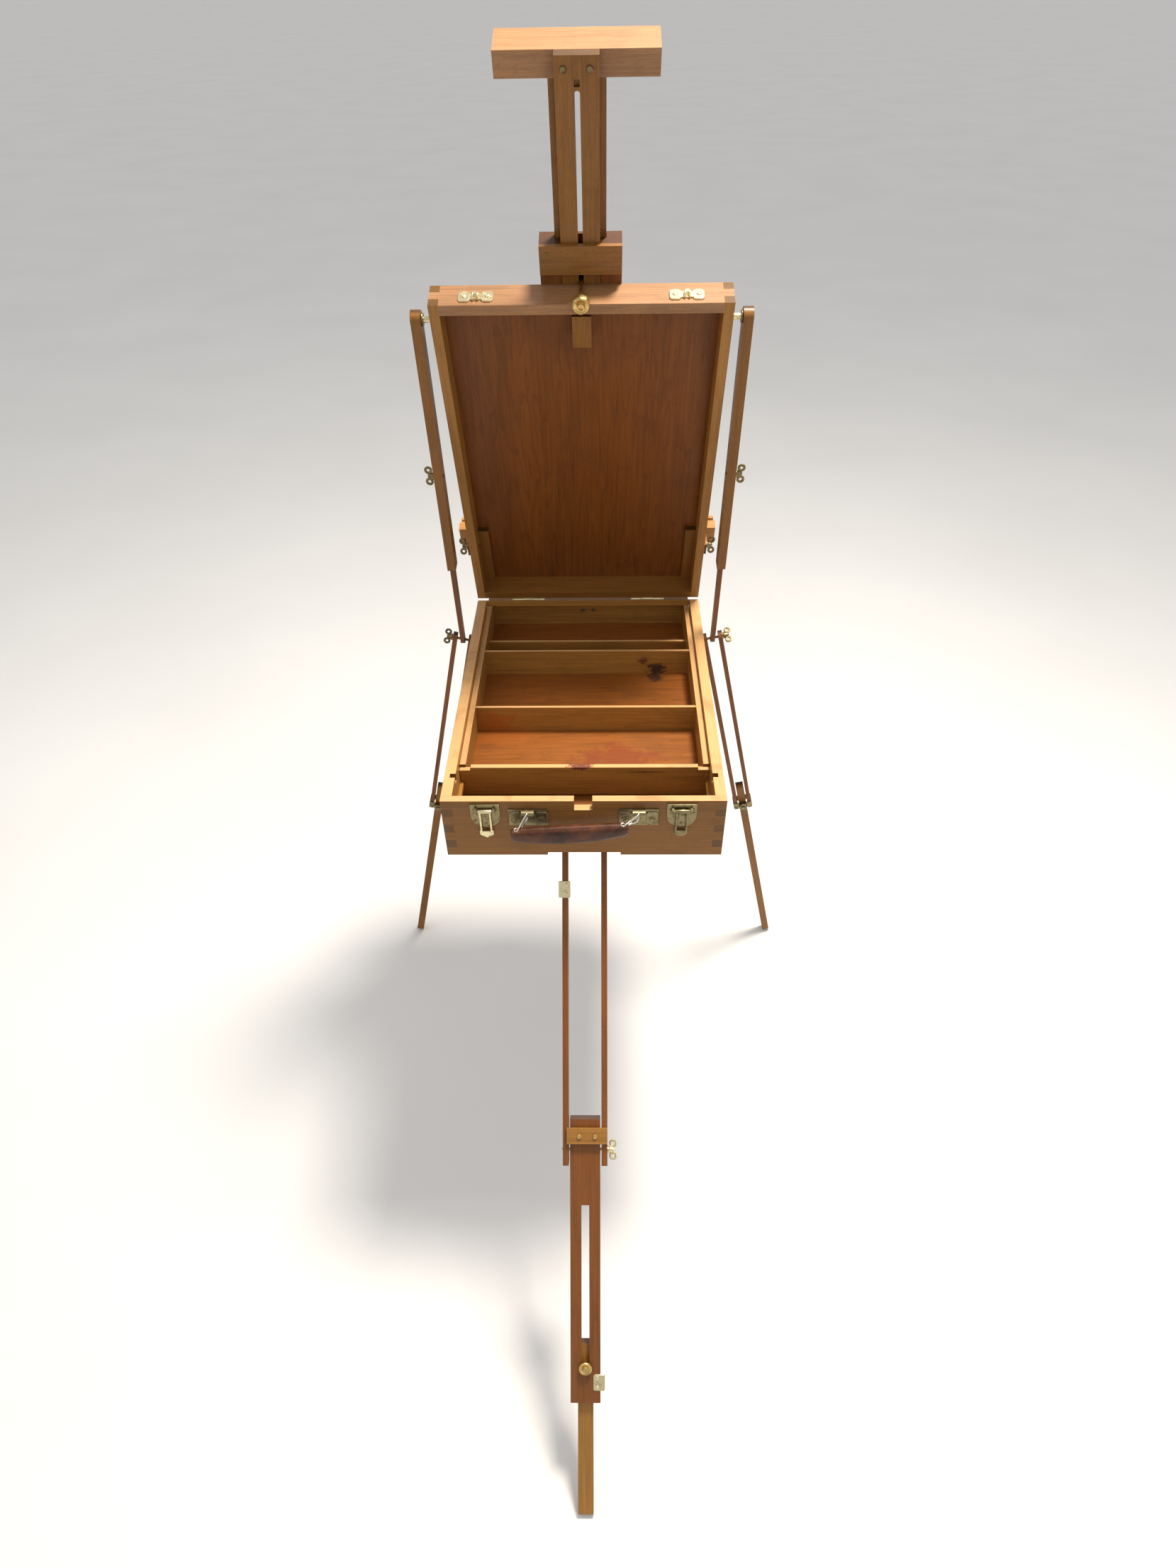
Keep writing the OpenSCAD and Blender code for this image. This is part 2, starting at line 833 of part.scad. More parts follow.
module front_leg_rails() {
    color("sienna") in_front_leg() for (x = [-front_gap / 2 - front_rail_t, front_gap / 2])
        difference() {
            union() {
                block([x, -front_depth / 2, 0], [x + front_rail_t, front_depth / 2, front_rail_l]);
                rod_x(front_depth / 2, x, x + front_rail_t);
            }
            rod_x(front_bolt_r + bolt_play, -60, 60);
            translate([0, 0, knee_s]) rod_x(front_bolt_r + bolt_play, -60, 60);
        }
}

module front_leg_crosspiece() {
    color("burlywood") in_front_leg() {
        block([-front_gap / 2 - 3, -front_depth / 2 - 5, cross_s[0]],
            [front_gap / 2 + front_rail_t, -front_depth / 2, cross_s[1]]);
        for (x = [-9, 15])
            translate([x, -front_depth / 2 - 5, (cross_s[0] + cross_s[1]) / 2])
                rotate([90, 0, 0]) screw_head();
        block([-front_gap / 2 - front_rail_t - 5, -front_depth / 2 - 1.5, 91],
            [-front_gap / 2 + 3, -front_depth / 2, 116]);
    }
}

// Hinge bolt under the box with its two bearing blocks.
module front_leg_bolts() {
    out = front_gap / 2 + front_rail_t;
    color("peru") in_box() translate([0, front_pivot[0], front_pivot[1]]) {
        rod_x(front_bolt_r, -out - 14, out + 14);
        both_sides() block([out + 0.5, -14, -front_pivot[1]], [out + 14, 14, bottom_z - front_pivot[1]]);
    }
}

module front_leg_board() {
    color("sienna") in_front_leg() difference() {
        block([-board_w / 2, -board_d / 2, board_top], [board_w / 2, board_d / 2, board_end]);
        translate([0, 0, knee_s]) rod_x(front_bolt_r + bolt_play, -60, 60);
        block([-front_slot_w / 2, -20, slot_s[0]], [front_slot_w / 2, 20, slot_s[1]]);
        block([-groove_w / 2, 0, slot_s[0] - 40], [groove_w / 2, 20, board_end + 1]);
    }
}

// Foot that slides in a groove in the back of the board.
module front_foot_bar() {
    color("burlywood") in_front_leg() translate([0, front_foot_mid, 0]) difference() {
        union() {
            block([-front_foot_w / 2, -front_foot_r, front_foot_top],
                [front_foot_w / 2, front_foot_r, front_leg_l]);
            translate([0, 0, front_leg_l]) rod_x(front_foot_r, -front_foot_w / 2, front_foot_w / 2);
        }
        translate([0, 0, front_knob_s]) rotate([90, 0, 0])
            cylinder(r = knob_screw_r + bolt_play, h = 4 * front_foot_r, center = true);
    }
}

// Clamp knob on the front of the board, its screw through the slot into the foot.
module front_foot_knob() {
    color("gold") in_front_leg() translate([0, 0, front_knob_s]) rotate([90, 0, 0]) {
        translate([0, 0, -front_foot_mid]) cylinder(r = knob_screw_r, h = front_foot_mid + board_d / 2 + 2);
        translate([0, 0, board_d / 2 + gap]) cylinder(r = front_knob_r, h = knob_h);
    }
}

// Knee bolt with its wing nut.
module front_leg_wing_nut() {
    out = front_gap / 2 + front_rail_t;
    color("goldenrod") in_front_leg() translate([0, 0, knee_s]) {
        rod_x(front_bolt_r, -out - 2, out);
        rod_x(7, -out - 3, -out);
        translate([out, 0, 0]) rotate([0, 90, 0]) wing_nut();
    }
}

box_front_wall();
box_left_wall();
box_right_wall();
box_bottom();
hinge_rail();
tray_runners();
box_hinge_leaves();
lid_hinge_pins();
latch_plates();
handle_brackets();
handle_grip();
left_latch_loop();
right_latch_loop();
tray_near_panel();
tray_front_panel();
tray_pull();
tray_sides();
tray_floor();
tray_dividers();
lid_top_wall();
lid_bottom_wall();
lid_side_walls();
lid_panel();
lid_inner_blocks();
lid_catch_plates();
lid_hinge_leaves();
strut_brackets();
mast_guide();
mast_bridge();
mast_stem();
mast_head();
mast_clamp_knob();
canvas_ledge();
ledge_arms();
left_ledge_wing_nut();
right_ledge_wing_nut();
left_strut_bar();
right_strut_bar();
left_strut_channel();
right_strut_channel();
strut_wing_nuts_left();
strut_wing_nuts_right();
side_leg_blocks();
left_leg_rails();
right_leg_rails();
left_leg_collar();
right_leg_collar();
left_leg_knob();
right_leg_knob();
left_foot_bar();
right_foot_bar();
left_leg_wing_nut();
right_leg_wing_nut();
front_leg_rails();
front_leg_crosspiece();
front_leg_bolts();
front_leg_board();
front_foot_bar();
front_foot_knob();
front_leg_wing_nut();
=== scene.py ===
import json
import math

import bmesh
import bpy
from mathutils import Matrix, Vector


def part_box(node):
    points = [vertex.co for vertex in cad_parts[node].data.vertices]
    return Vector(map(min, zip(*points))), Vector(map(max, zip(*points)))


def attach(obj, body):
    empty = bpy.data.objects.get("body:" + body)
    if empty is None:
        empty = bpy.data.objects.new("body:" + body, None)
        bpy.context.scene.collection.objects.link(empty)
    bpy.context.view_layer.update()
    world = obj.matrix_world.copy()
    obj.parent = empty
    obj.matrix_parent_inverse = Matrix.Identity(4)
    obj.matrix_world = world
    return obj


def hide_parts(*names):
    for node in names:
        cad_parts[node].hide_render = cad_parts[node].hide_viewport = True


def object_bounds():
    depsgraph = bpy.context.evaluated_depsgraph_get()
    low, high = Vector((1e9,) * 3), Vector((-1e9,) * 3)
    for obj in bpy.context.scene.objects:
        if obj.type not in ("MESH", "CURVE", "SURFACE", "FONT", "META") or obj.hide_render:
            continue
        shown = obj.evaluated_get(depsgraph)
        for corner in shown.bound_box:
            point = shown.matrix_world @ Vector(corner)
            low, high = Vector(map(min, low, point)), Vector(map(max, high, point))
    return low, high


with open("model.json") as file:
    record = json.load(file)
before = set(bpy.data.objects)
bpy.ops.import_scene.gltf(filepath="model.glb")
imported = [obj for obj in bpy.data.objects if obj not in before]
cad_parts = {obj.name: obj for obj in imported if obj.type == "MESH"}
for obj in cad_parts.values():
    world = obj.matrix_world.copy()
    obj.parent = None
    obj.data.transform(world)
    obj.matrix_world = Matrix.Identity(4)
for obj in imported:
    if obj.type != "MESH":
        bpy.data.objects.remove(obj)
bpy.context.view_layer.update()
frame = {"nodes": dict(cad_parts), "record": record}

MM = 0.001
NODES = frame["nodes"]
JOINTS = {j["name"]: j for j in frame["record"]["behaviour"]["joints"]}
X, Y, Z = Vector((1, 0, 0)), Vector((0, 1, 0)), Vector((0, 0, 1))

# The box's own corner: the front wall's outer face and the box's underside.
BOX_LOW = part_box("box_front_wall")[0]
FRONT_Y = BOX_LOW.y
BASE_Z = BOX_LOW.z

# Directions of the tilted parts, read from their joints.
LID_UP = Vector(JOINTS["mast_slide"]["axis"])
LID_BACK = X.cross(LID_UP) * -1
STRUT_UP = Vector(JOINTS["strut_slide_left"]["axis"])
FRONT_DOWN = Vector(JOINTS["front_foot_slide"]["axis"])
FRONT_FACE = X.cross(FRONT_DOWN)
if FRONT_FACE.z < 0:
    FRONT_FACE = -FRONT_FACE
SIDE_DOWN = {side: Vector(JOINTS["foot_slide_" + side]["axis"]) for side in ("left", "right")}
SIDES = (("left", -1), ("right", 1))


def in_box(x, y, z):
    """A point given in millimetres from the box's front, middle and underside."""
    return Vector((x * MM, FRONT_Y + y * MM, BASE_Z + z * MM))


def joint_pos(name):
    return Vector(JOINTS[name]["pos_m"])


def joint_axis(name):
    return Vector(JOINTS[name]["axis"]).normalized()


def placed(origin, z_axis, x_hint):
    """A matrix whose Z is z_axis and whose X is as near x_hint as it can be."""
    z = z_axis.normalized()
    y = z.cross(x_hint).normalized()
    x = y.cross(z)
    m = Matrix((x, y, z)).transposed().to_4x4()
    m.translation = origin
    return m


# ---------------------------------------------------------------- materials


class Shader:
    """A material and short ways to add nodes to it."""

    def __init__(self, name):
        self.mat = bpy.data.materials.new(name)
        self.mat.use_nodes = True
        self.tree = self.mat.node_tree
        self.bsdf = self.tree.nodes["Principled BSDF"]
        self.coord = self.node("ShaderNodeTexCoord")

    def node(self, kind, **settings):
        n = self.tree.nodes.new(kind)
        for key, value in settings.items():
            setattr(n, key, value)
        return n

    def link(self, out, socket):
        self.tree.links.new(out, socket)

    def turned(self, vector, turn, shift=(0, 0, 0)):
        n = self.node("ShaderNodeMapping")
        self.link(vector, n.inputs["Vector"])
        n.inputs["Rotation"].default_value = turn
        n.inputs["Location"].default_value = shift
        return n.outputs[0]

    def scaled(self, vector, scale):
        n = self.node("ShaderNodeMapping")
        self.link(vector, n.inputs["Vector"])
        n.inputs["Scale"].default_value = scale
        return n.outputs[0]

    def noise(self, vector, scale=1.0, detail=4.0, rough=0.55, distortion=0.0):
        n = self.node("ShaderNodeTexNoise")
        self.link(vector, n.inputs["Vector"])
        n.inputs["Scale"].default_value = scale
        n.inputs["Detail"].default_value = detail
        n.inputs["Roughness"].default_value = rough
        n.inputs["Distortion"].default_value = distortion
        return n.outputs["Fac"]

    def ramp(self, fac, stops):
        n = self.node("ShaderNodeValToRGB")
        self.link(fac, n.inputs["Fac"])
        while len(n.color_ramp.elements) < len(stops):
            n.color_ramp.elements.new(0.5)
        for element, (place, colour) in zip(n.color_ramp.elements, stops):
            element.position = place
            element.color = (*colour, 1) if len(colour) == 3 else colour
        return n.outputs["Color"]

    def mask(self, fac, low, high):
        """0 below low, 1 above high; the other way round when low is the larger."""
        n = self.node("ShaderNodeMapRange")
        n.clamp = True
        self.link(fac, n.inputs["Value"])
        n.inputs["From Min"].default_value = low
        n.inputs["From Max"].default_value = high
        return n.outputs["Result"]

    def math(self, operation, a, b=None):
        n = self.node("ShaderNodeMath", operation=operation)
        for socket, value in zip(n.inputs, (a, b)):
            if value is None:
                continue
            if isinstance(value, (int, float)):
                socket.default_value = value
            else:
                self.link(value, socket)
        return n.outputs[0]

    def mix(self, fac, a, b, blend="MIX"):
        n = self.node("ShaderNodeMix", data_type="RGBA", blend_type=blend)
        n.clamp_factor = True
        for socket, value in ((n.inputs[0], fac), (n.inputs[6], a), (n.inputs[7], b)):
            if isinstance(value, (int, float)):
                socket.default_value = value
            elif isinstance(value, tuple):
                socket.default_value = (*value, 1)
            else:
                self.link(value, socket)
        return n.outputs[2]

    def near(self, point, radius, stretch=(1, 1, 1), ragged=2.6):
        """1 close to a point of the object, fading to 0 at a ragged rim."""
        v = self.node("ShaderNodeVectorMath", operation="SUBTRACT")
        self.link(self.coord.outputs["Object"], v.inputs[0])
        v.inputs[1].default_value = point
        s = self.scaled(v.outputs[0], stretch)
        length = self.node("ShaderNodeVectorMath", operation="LENGTH")
        self.link(s, length.inputs[0])
        wobble = self.math("SUBTRACT", self.noise(self.coord.outputs["Object"], 1.8 / radius, 6, 0.65), 0.5)
        away = self.math("ADD", length.outputs["Value"], self.math("MULTIPLY", wobble, radius * ragged))
        return self.mask(away, radius, radius * 0.55)

    def finish(self, colour, roughness, height=None, depth=0.0003, edge=0.0006):
        self.link(colour, self.bsdf.inputs["Base Color"])
        self.link(roughness, self.bsdf.inputs["Roughness"])
        bevel = self.node("ShaderNodeBevel", samples=4)
        bevel.inputs["Radius"].default_value = edge
        normal = bevel.outputs["Normal"]
        if height is not None:
            bump = self.node("ShaderNodeBump")
            bump.inputs["Strength"].default_value = 0.6
            bump.inputs["Distance"].default_value = depth
            self.link(height, bump.inputs["Height"])
            self.link(normal, bump.inputs["Normal"])
            normal = bump.outputs["Normal"]
        self.link(normal, self.bsdf.inputs["Normal"])
        return self.mat

    def edges(self, radius):
        """Near 1 along the sharp edges, 0 on the flats."""
        bevel = self.node("ShaderNodeBevel", samples=4)
        bevel.inputs["Radius"].default_value = radius
        geometry = self.node("ShaderNodeNewGeometry")
        dot = self.node("ShaderNodeVectorMath", operation="DOT_PRODUCT")
        self.link(bevel.outputs["Normal"], dot.inputs[0])
        self.link(geometry.outputs["Normal"], dot.inputs[1])
        return self.mask(dot.outputs["Value"], 0.985, 0.80)


def shade(colour, factor):
    return tuple(min(1.0, c * factor) for c in colour)


# Varnished beech tones, from the sunlit pale pieces to the reddish ones.
HONEY = (0.35, 0.158, 0.030)
PALE = (0.54, 0.275, 0.075)
BROWN = (0.235, 0.097, 0.017)
RED_PLY = (0.195, 0.060, 0.009)
REDDISH = (0.20, 0.066, 0.013)
TAN = (0.42, 0.19, 0.042)
# A pale tone used only as a painted highlight on upward faces, for the light from above.
PAINTED_TOP_HIGHLIGHT = (0.74, 0.42, 0.18)
ROSY = (0.33, 0.165, 0.072)


def wood(name, tone, grain, seed, figure=1.0, marks=(), painted_top_light=False):
    """Varnished beech with its grain along one direction, dark end grain and worn edges.

    Painted top light: every upward face is mixed towards a pale tone, a painted highlight for the light
    falling from above.
    """
    s = Shader(name)
    turn = grain.rotation_difference(X).to_euler()
    shift = (seed * 0.731, seed * 0.377, seed * 0.519)
    place = s.turned(s.coord.outputs["Object"], turn, shift)
    normal = s.turned(s.coord.outputs["Normal"], turn)

    broad = s.noise(s.scaled(place, (2.2, 16, 16)), 1.0, 3, 0.5, 0.6)
    bent = s.noise(s.scaled(place, (3.0, 34, 34)), 1.0, 2, 0.4, 1.2)
    rings = s.math("FRACT", s.math("MULTIPLY", bent, 5.5))
    streaks = s.noise(s.scaled(place, (9, 330, 330)), 1.0, 5, 0.65)
    flecks = s.noise(s.scaled(place, (150, 1500, 1500)), 1.0, 2, 0.5)

    colour = s.ramp(
        s.math("ADD", s.math("MULTIPLY", streaks, 0.62), s.math("MULTIPLY", broad, 0.38)),
        [(at, shade(tone, k)) for at, k in ((0.30, 0.62), (0.48, 0.94), (0.62, 1.12), (0.78, 1.34))],
    )
    ring_dark = s.math("MULTIPLY", s.mask(rings, 0.62, 1.0), 0.30 * figure)
    colour = s.mix(ring_dark, colour, shade(tone, 0.48))
    fleck_dark = s.math("MULTIPLY", s.mask(flecks, 0.60, 0.70), 0.5)
    colour = s.mix(fleck_dark, colour, shade(tone, 0.42))

    split = s.node("ShaderNodeSeparateXYZ")
    s.link(normal, split.inputs[0])
    end = s.mask(s.math("ABSOLUTE", split.outputs["X"]), 0.80, 0.95)
    pores = s.noise(s.scaled(place, (1, 900, 900)), 1.0, 3, 0.7)
    end_colour = s.ramp(pores, [(0.35, shade(tone, 0.16)), (0.65, shade(tone, 0.36))])
    colour = s.mix(s.math("MULTIPLY", end, 0.9), colour, end_colour)
    # Painted highlight: faces turned upwards are mixed towards the pale tone, as if lit from above.
    if painted_top_light:
        up = s.node("ShaderNodeSeparateXYZ")
        s.link(s.coord.outputs["Normal"], up.inputs[0])
        top_highlight_ramp = s.ramp(streaks, [(0.3, shade(PAINTED_TOP_HIGHLIGHT, 0.80)), (0.7, PAINTED_TOP_HIGHLIGHT)])
        colour = s.mix(s.math("MULTIPLY", s.mask(up.outputs["Z"], 0.6, 0.9), 0.85), colour, top_highlight_ramp)

    grime = s.noise(s.coord.outputs["Object"], 14, 6, 0.62, 0.4)
    colour = s.mix(s.math("MULTIPLY", s.mask(grime, 0.56, 0.74), 0.45), colour, shade(tone, 0.50))
    worn = s.math("MULTIPLY", s.edges(0.0016), s.mask(grime, 0.38, 0.62))
    colour = s.mix(s.math("MULTIPLY", worn, 0.55), colour, shade(tone, 1.45))
    for point, radius, stretch, stain, strength in marks:
        spot = s.math("MULTIPLY", s.near(point, radius, stretch), strength)
        colour = s.mix(spot, colour, stain)

    rough = s.math("ADD", 0.30, s.math("MULTIPLY", grime, 0.26))
    rough = s.math("ADD", rough, s.math("MULTIPLY", fleck_dark, 0.2))
    height = s.math("SUBTRACT", s.math("MULTIPLY", streaks, 0.7), fleck_dark)
    s.bsdf.inputs["Specular IOR Level"].default_value = 0.30
    s.bsdf.inputs["Coat Weight"].default_value = 0.07
    s.bsdf.inputs["Coat Roughness"].default_value = 0.22
    return s.finish(colour, rough, height, 0.00022)


def metal(name, bright, dull, patches=0.5, rough=0.28, seed=0):
    """Aged brass or bronze: bright where it is rubbed, dull and mottled elsewhere."""
    s = Shader(name)
    place = s.turned(s.coord.outputs["Object"], (0, 0, 0), (seed * 0.3, seed * 0.5, seed * 0.2))
    mottle = s.noise(place, 130, 6, 0.62, 0.5)
    fine = s.noise(s.scaled(place, (1500, 420, 900)), 1.0, 3, 0.6)
    dirty = s.mask(mottle, 0.62 - 0.25 * patches, 0.78 - 0.2 * patches)
    colour = s.mix(dirty, bright, dull)
    colour = s.mix(s.math("MULTIPLY", s.edges(0.0007), 0.7), colour, shade(bright, 1.25))
    s.bsdf.inputs["Metallic"].default_value = 1.0
    roughness = s.math("ADD", rough, s.math("MULTIPLY", dirty, 0.28))
    roughness = s.math("ADD", roughness, s.math("MULTIPLY", fine, 0.12))
    return s.finish(colour, roughness, s.math("ADD", fine, mottle), 0.00006, 0.0004)


def leather(name):
    """Dark brown, polished by the hand, with fine creases."""
    s = Shader(name)
    place = s.coord.outputs["Object"]
    cells = s.node("ShaderNodeTexVoronoi", feature="DISTANCE_TO_EDGE")
    s.link(place, cells.inputs["Vector"])
    cells.inputs["Scale"].default_value = 900
    creases = s.noise(s.scaled(place, (60, 420, 420)), 1.0, 5, 0.6)
    wear = s.noise(place, 45, 5, 0.6, 0.6)
    colour = s.ramp(
        wear,
        [(0.30, (0.034, 0.011, 0.005)), (0.52, (0.075, 0.023, 0.009)), (0.74, (0.14, 0.045, 0.017))],
    )
    colour = s.mix(s.math("MULTIPLY", s.mask(creases, 0.6, 0.75), 0.5), colour, (0.012, 0.005, 0.004))
    grain = s.math("MULTIPLY", s.mask(cells.outputs["Distance"], 0.0, 0.12), 0.6)
    roughness = s.math("ADD", 0.17, s.math("MULTIPLY", wear, 0.24))
    s.bsdf.inputs["Specular IOR Level"].default_value = 0.32
    return s.finish(colour, roughness, s.math("ADD", grain, creases), 0.00012)


def thread(name):
    """Waxed pale stitching, twisted."""
    s = Shader(name)
    twist = s.node("ShaderNodeTexWave", bands_direction="DIAGONAL")
    s.link(s.coord.outputs["Object"], twist.inputs["Vector"])
    twist.inputs["Scale"].default_value = 700
    colour = s.ramp(twist.outputs["Fac"], [(0.2, (0.30, 0.20, 0.11)), (0.8, (0.72, 0.60, 0.42))])
    rough = s.math("ADD", 0.5, s.math("MULTIPLY", twist.outputs["Fac"], 0.2))
    return s.finish(colour, rough, twist.outputs["Fac"], 0.0001)


def floor_paint(name):
    s = Shader(name)
    tone = s.noise(s.coord.outputs["Object"], 1.4, 3, 0.5)
    colour = s.ramp(tone, [(0.3, (0.80, 0.79, 0.77)), (0.7, (0.84, 0.83, 0.81))])
    rough = s.math("ADD", 0.55, s.math("MULTIPLY", tone, 0.2))
    return s.finish(colour, rough)


TRAY_LOW, TRAY_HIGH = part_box("tray_floor")
NEAR_LOW, NEAR_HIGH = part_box("tray_near_panel")
ORANGE = (0.36, 0.095, 0.012)
CRUD = (0.035, 0.018, 0.012)
WINE = (0.13, 0.022, 0.022)
DIVIDER_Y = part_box("tray_dividers")[0].y

floor_marks = (
    ((TRAY_LOW.x + 0.045, DIVIDER_Y - 0.012, TRAY_HIGH.z), 0.055, (1, 1.6, 1), ORANGE, 0.5),
    ((0.055, DIVIDER_Y - 0.070, TRAY_HIGH.z), 0.050, (0.7, 1.5, 1), (0.20, 0.035, 0.012), 0.6),
    ((0.120, DIVIDER_Y + 0.155, TRAY_HIGH.z), 0.016, (1, 1, 1), CRUD, 0.85),
)
divider_marks = (
    ((TRAY_LOW.x + 0.03, DIVIDER_Y, TRAY_HIGH.z + 0.008), 0.040, (1, 1, 1.2), ORANGE, 0.65),
    ((0.122, DIVIDER_Y + 0.165, TRAY_HIGH.z + 0.010), 0.013, (0.7, 1, 1), CRUD, 0.9),
    ((0.098, DIVIDER_Y + 0.165, TRAY_HIGH.z + 0.026), 0.008, (0.8, 1, 1), (0.10, 0.02, 0.01), 0.8),
)
near_marks = (
    ((-0.004, NEAR_LOW.y + 0.005, NEAR_HIGH.z), 0.014, (0.62, 1, 2.2), WINE, 0.9),
    ((0.092, NEAR_LOW.y, NEAR_HIGH.z - 0.009), 0.006, (0.20, 1, 3.4), CRUD, 0.7),
)

# node: tone, grain direction, strength of the figure, stains
WOODS = {
    # Painted shade: the front wall takes the darker BROWN tone, while the side walls of the same wood take
    # TAN, for its front face turned away from the light.
    "box_front_wall": (BROWN, X, 0.7, ()),
    "box_left_wall": (TAN, Y, 0.8, ()),
    "box_right_wall": (TAN, Y, 0.8, ()),
    "box_bottom": (RED_PLY, X, 1.0, ()),
    "hinge_rail": (HONEY, X, 0.8, ()),
    "tray_runners": (HONEY, Y, 0.8, ()),
    "tray_near_panel": (HONEY, X, 0.9, near_marks),
    "tray_front_panel": (HONEY, X, 1.2, ()),
    "tray_pull": (REDDISH, X, 0.8, ()),
    "tray_sides": (HONEY, Y, 0.8, ()),
    "tray_floor": (shade(RED_PLY, 1.35), X, 1.3, floor_marks),
    "tray_dividers": (HONEY, X, 0.9, divider_marks),
    "lid_top_wall": (ROSY, X, 1.0, ()),
    "lid_bottom_wall": (BROWN, X, 0.8, ()),
    "lid_side_walls": (HONEY, LID_UP, 0.8, ()),
    "lid_panel": (RED_PLY, LID_UP, 1.5, ()),
    "lid_inner_blocks": (BROWN, LID_UP, 0.9, ()),
    "mast_guide": (REDDISH, LID_UP, 0.8, ()),
    "mast_bridge": (BROWN, X, 0.8, ()),
    "mast_stem": (BROWN, LID_UP, 0.8, ()),
    "mast_head": (ROSY, X, 0.9, ()),
    "canvas_ledge": (TAN, X, 0.8, ()),
    "ledge_arms": (HONEY, LID_BACK, 0.8, ()),
    "left_strut_bar": (REDDISH, STRUT_UP, 0.7, ()),
    "right_strut_bar": (REDDISH, STRUT_UP, 0.7, ()),
    "left_strut_channel": (BROWN, STRUT_UP, 0.7, ()),
    "right_strut_channel": (BROWN, STRUT_UP, 0.7, ()),
    "side_leg_blocks": (PALE, Y, 0.8, ()),
    "left_leg_rails": (REDDISH, SIDE_DOWN["left"], 0.7, ()),
    "right_leg_rails": (REDDISH, SIDE_DOWN["right"], 0.7, ()),
    "left_foot_bar": (BROWN, SIDE_DOWN["left"], 0.7, ()),
    "right_foot_bar": (BROWN, SIDE_DOWN["right"], 0.7, ()),
    "front_leg_rails": (REDDISH, FRONT_DOWN, 0.8, ()),
    "front_leg_crosspiece": (HONEY, X, 0.8, ()),
    "front_leg_bolts": (HONEY, Y, 0.8, ()),
    "front_leg_board": (REDDISH, FRONT_DOWN, 0.9, ()),
    "front_foot_bar": (HONEY, FRONT_DOWN, 0.9, ()),
}

brass = metal("pale_brass", (0.78, 0.68, 0.42), (0.46, 0.37, 0.19), 0.4, 0.24)
gold = metal("yellow_brass", (0.66, 0.46, 0.17), (0.30, 0.19, 0.06), 0.4, 0.24, 3)
bronze = metal("olive_bronze", (0.27, 0.225, 0.12), (0.15, 0.12, 0.062), 0.5, 0.30, 5)
dark_brass = metal("dark_brass", (0.24, 0.18, 0.09), (0.11, 0.075, 0.035), 0.5, 0.36, 9)
steel = metal("ring_steel", (0.66, 0.61, 0.52), (0.36, 0.31, 0.24), 0.3, 0.22, 7)
hide = leather("brown_leather")
stitch = thread("waxed_thread")

CAD_METALS = {
    "box_hinge_leaves": brass,
    "lid_hinge_leaves": brass,
    "lid_hinge_pins": steel,
    "strut_brackets": brass,
    "latch_plates": bronze,
    "handle_brackets": bronze,
    "left_leg_collar": bronze,
    "right_leg_collar": bronze,
}


def paint(obj, material):
    obj.data.materials.clear()
    obj.data.materials.append(material)


# Parts whose upward faces get the painted top highlight.
PAINTED_TOP_LIGHT_PARTS = (
    "box_front_wall", "box_left_wall", "box_right_wall",
    "tray_near_panel", "tray_sides", "tray_dividers",
)

for seed, (node, (tone, grain, figure, marks)) in enumerate(WOODS.items()):
    paint(NODES[node], wood("wood_" + node, tone, grain, seed + 1, figure, marks, node in PAINTED_TOP_LIGHT_PARTS))
for node, material in CAD_METALS.items():
    paint(NODES[node], material)


# ---------------------------------------------------------------- mesh helpers


def lathe(bm, profile, place, turns=40, ripple=None):
    """Turns a profile of (radius, height) in millimetres about place's Z."""
    rings = []
    for radius, height in profile:
        if radius == 0:
            rings.append([bm.verts.new(place @ Vector((0, 0, height * MM)))])
            continue
        ring = []
        for i in range(turns):
            a = math.tau * i / turns
            r = radius + (ripple(a, radius, height) if ripple else 0)
            point = Vector((r * math.cos(a) * MM, r * math.sin(a) * MM, height * MM))
            ring.append(bm.verts.new(place @ point))
        rings.append(ring)
    for low, high in zip(rings, rings[1:]):
        for i in range(turns):
            j = (i + 1) % turns
            corners = [low[i % len(low)], low[j % len(low)], high[j % len(high)], high[i % len(high)]]
            unique = list(dict.fromkeys(corners))
            if len(unique) > 2:
                bm.faces.new(unique)


def tube(bm, points, radius, around=12):
    """A round wire of one radius in millimetres through points in metres, with closed ends."""
    rings = []
    side = None
    for i, p in enumerate(points):
        ahead = points[min(i + 1, len(points) - 1)] - points[max(i - 1, 0)]
        ahead.normalize()
        if side is None:
            side = ahead.orthogonal().normalized()
        side = (side - ahead * side.dot(ahead)).normalized()
        other = ahead.cross(side)
        rings.append(
            [
                bm.verts.new(p + (side * math.cos(a) + other * math.sin(a)) * radius * MM)
                for a in (math.tau * k / around for k in range(around))
            ]
        )
    for low, high in zip(rings, rings[1:]):
        for k in range(around):
            j = (k + 1) % around
            bm.faces.new((low[k], low[j], high[j], high[k]))
    bm.faces.new(list(reversed(rings[0])))
    bm.faces.new(rings[-1])


def smooth_path(points, steps=6):
    """A curve through every point, for wire bends."""
    path = []
    for i in range(len(points) - 1):
        before = points[max(i - 1, 0)]
        a, b = points[i], points[i + 1]
        after = points[min(i + 2, len(points) - 1)]
        for k in range(steps):
            t = k / steps
            path.append(
                0.5
                * (
                    2 * a
                    + (b - before) * t
                    + (2 * before - 5 * a + 4 * b - after) * t**2
                    + (3 * a - before - 3 * b + after) * t**3
                )
            )
    path.append(points[-1])
    return path


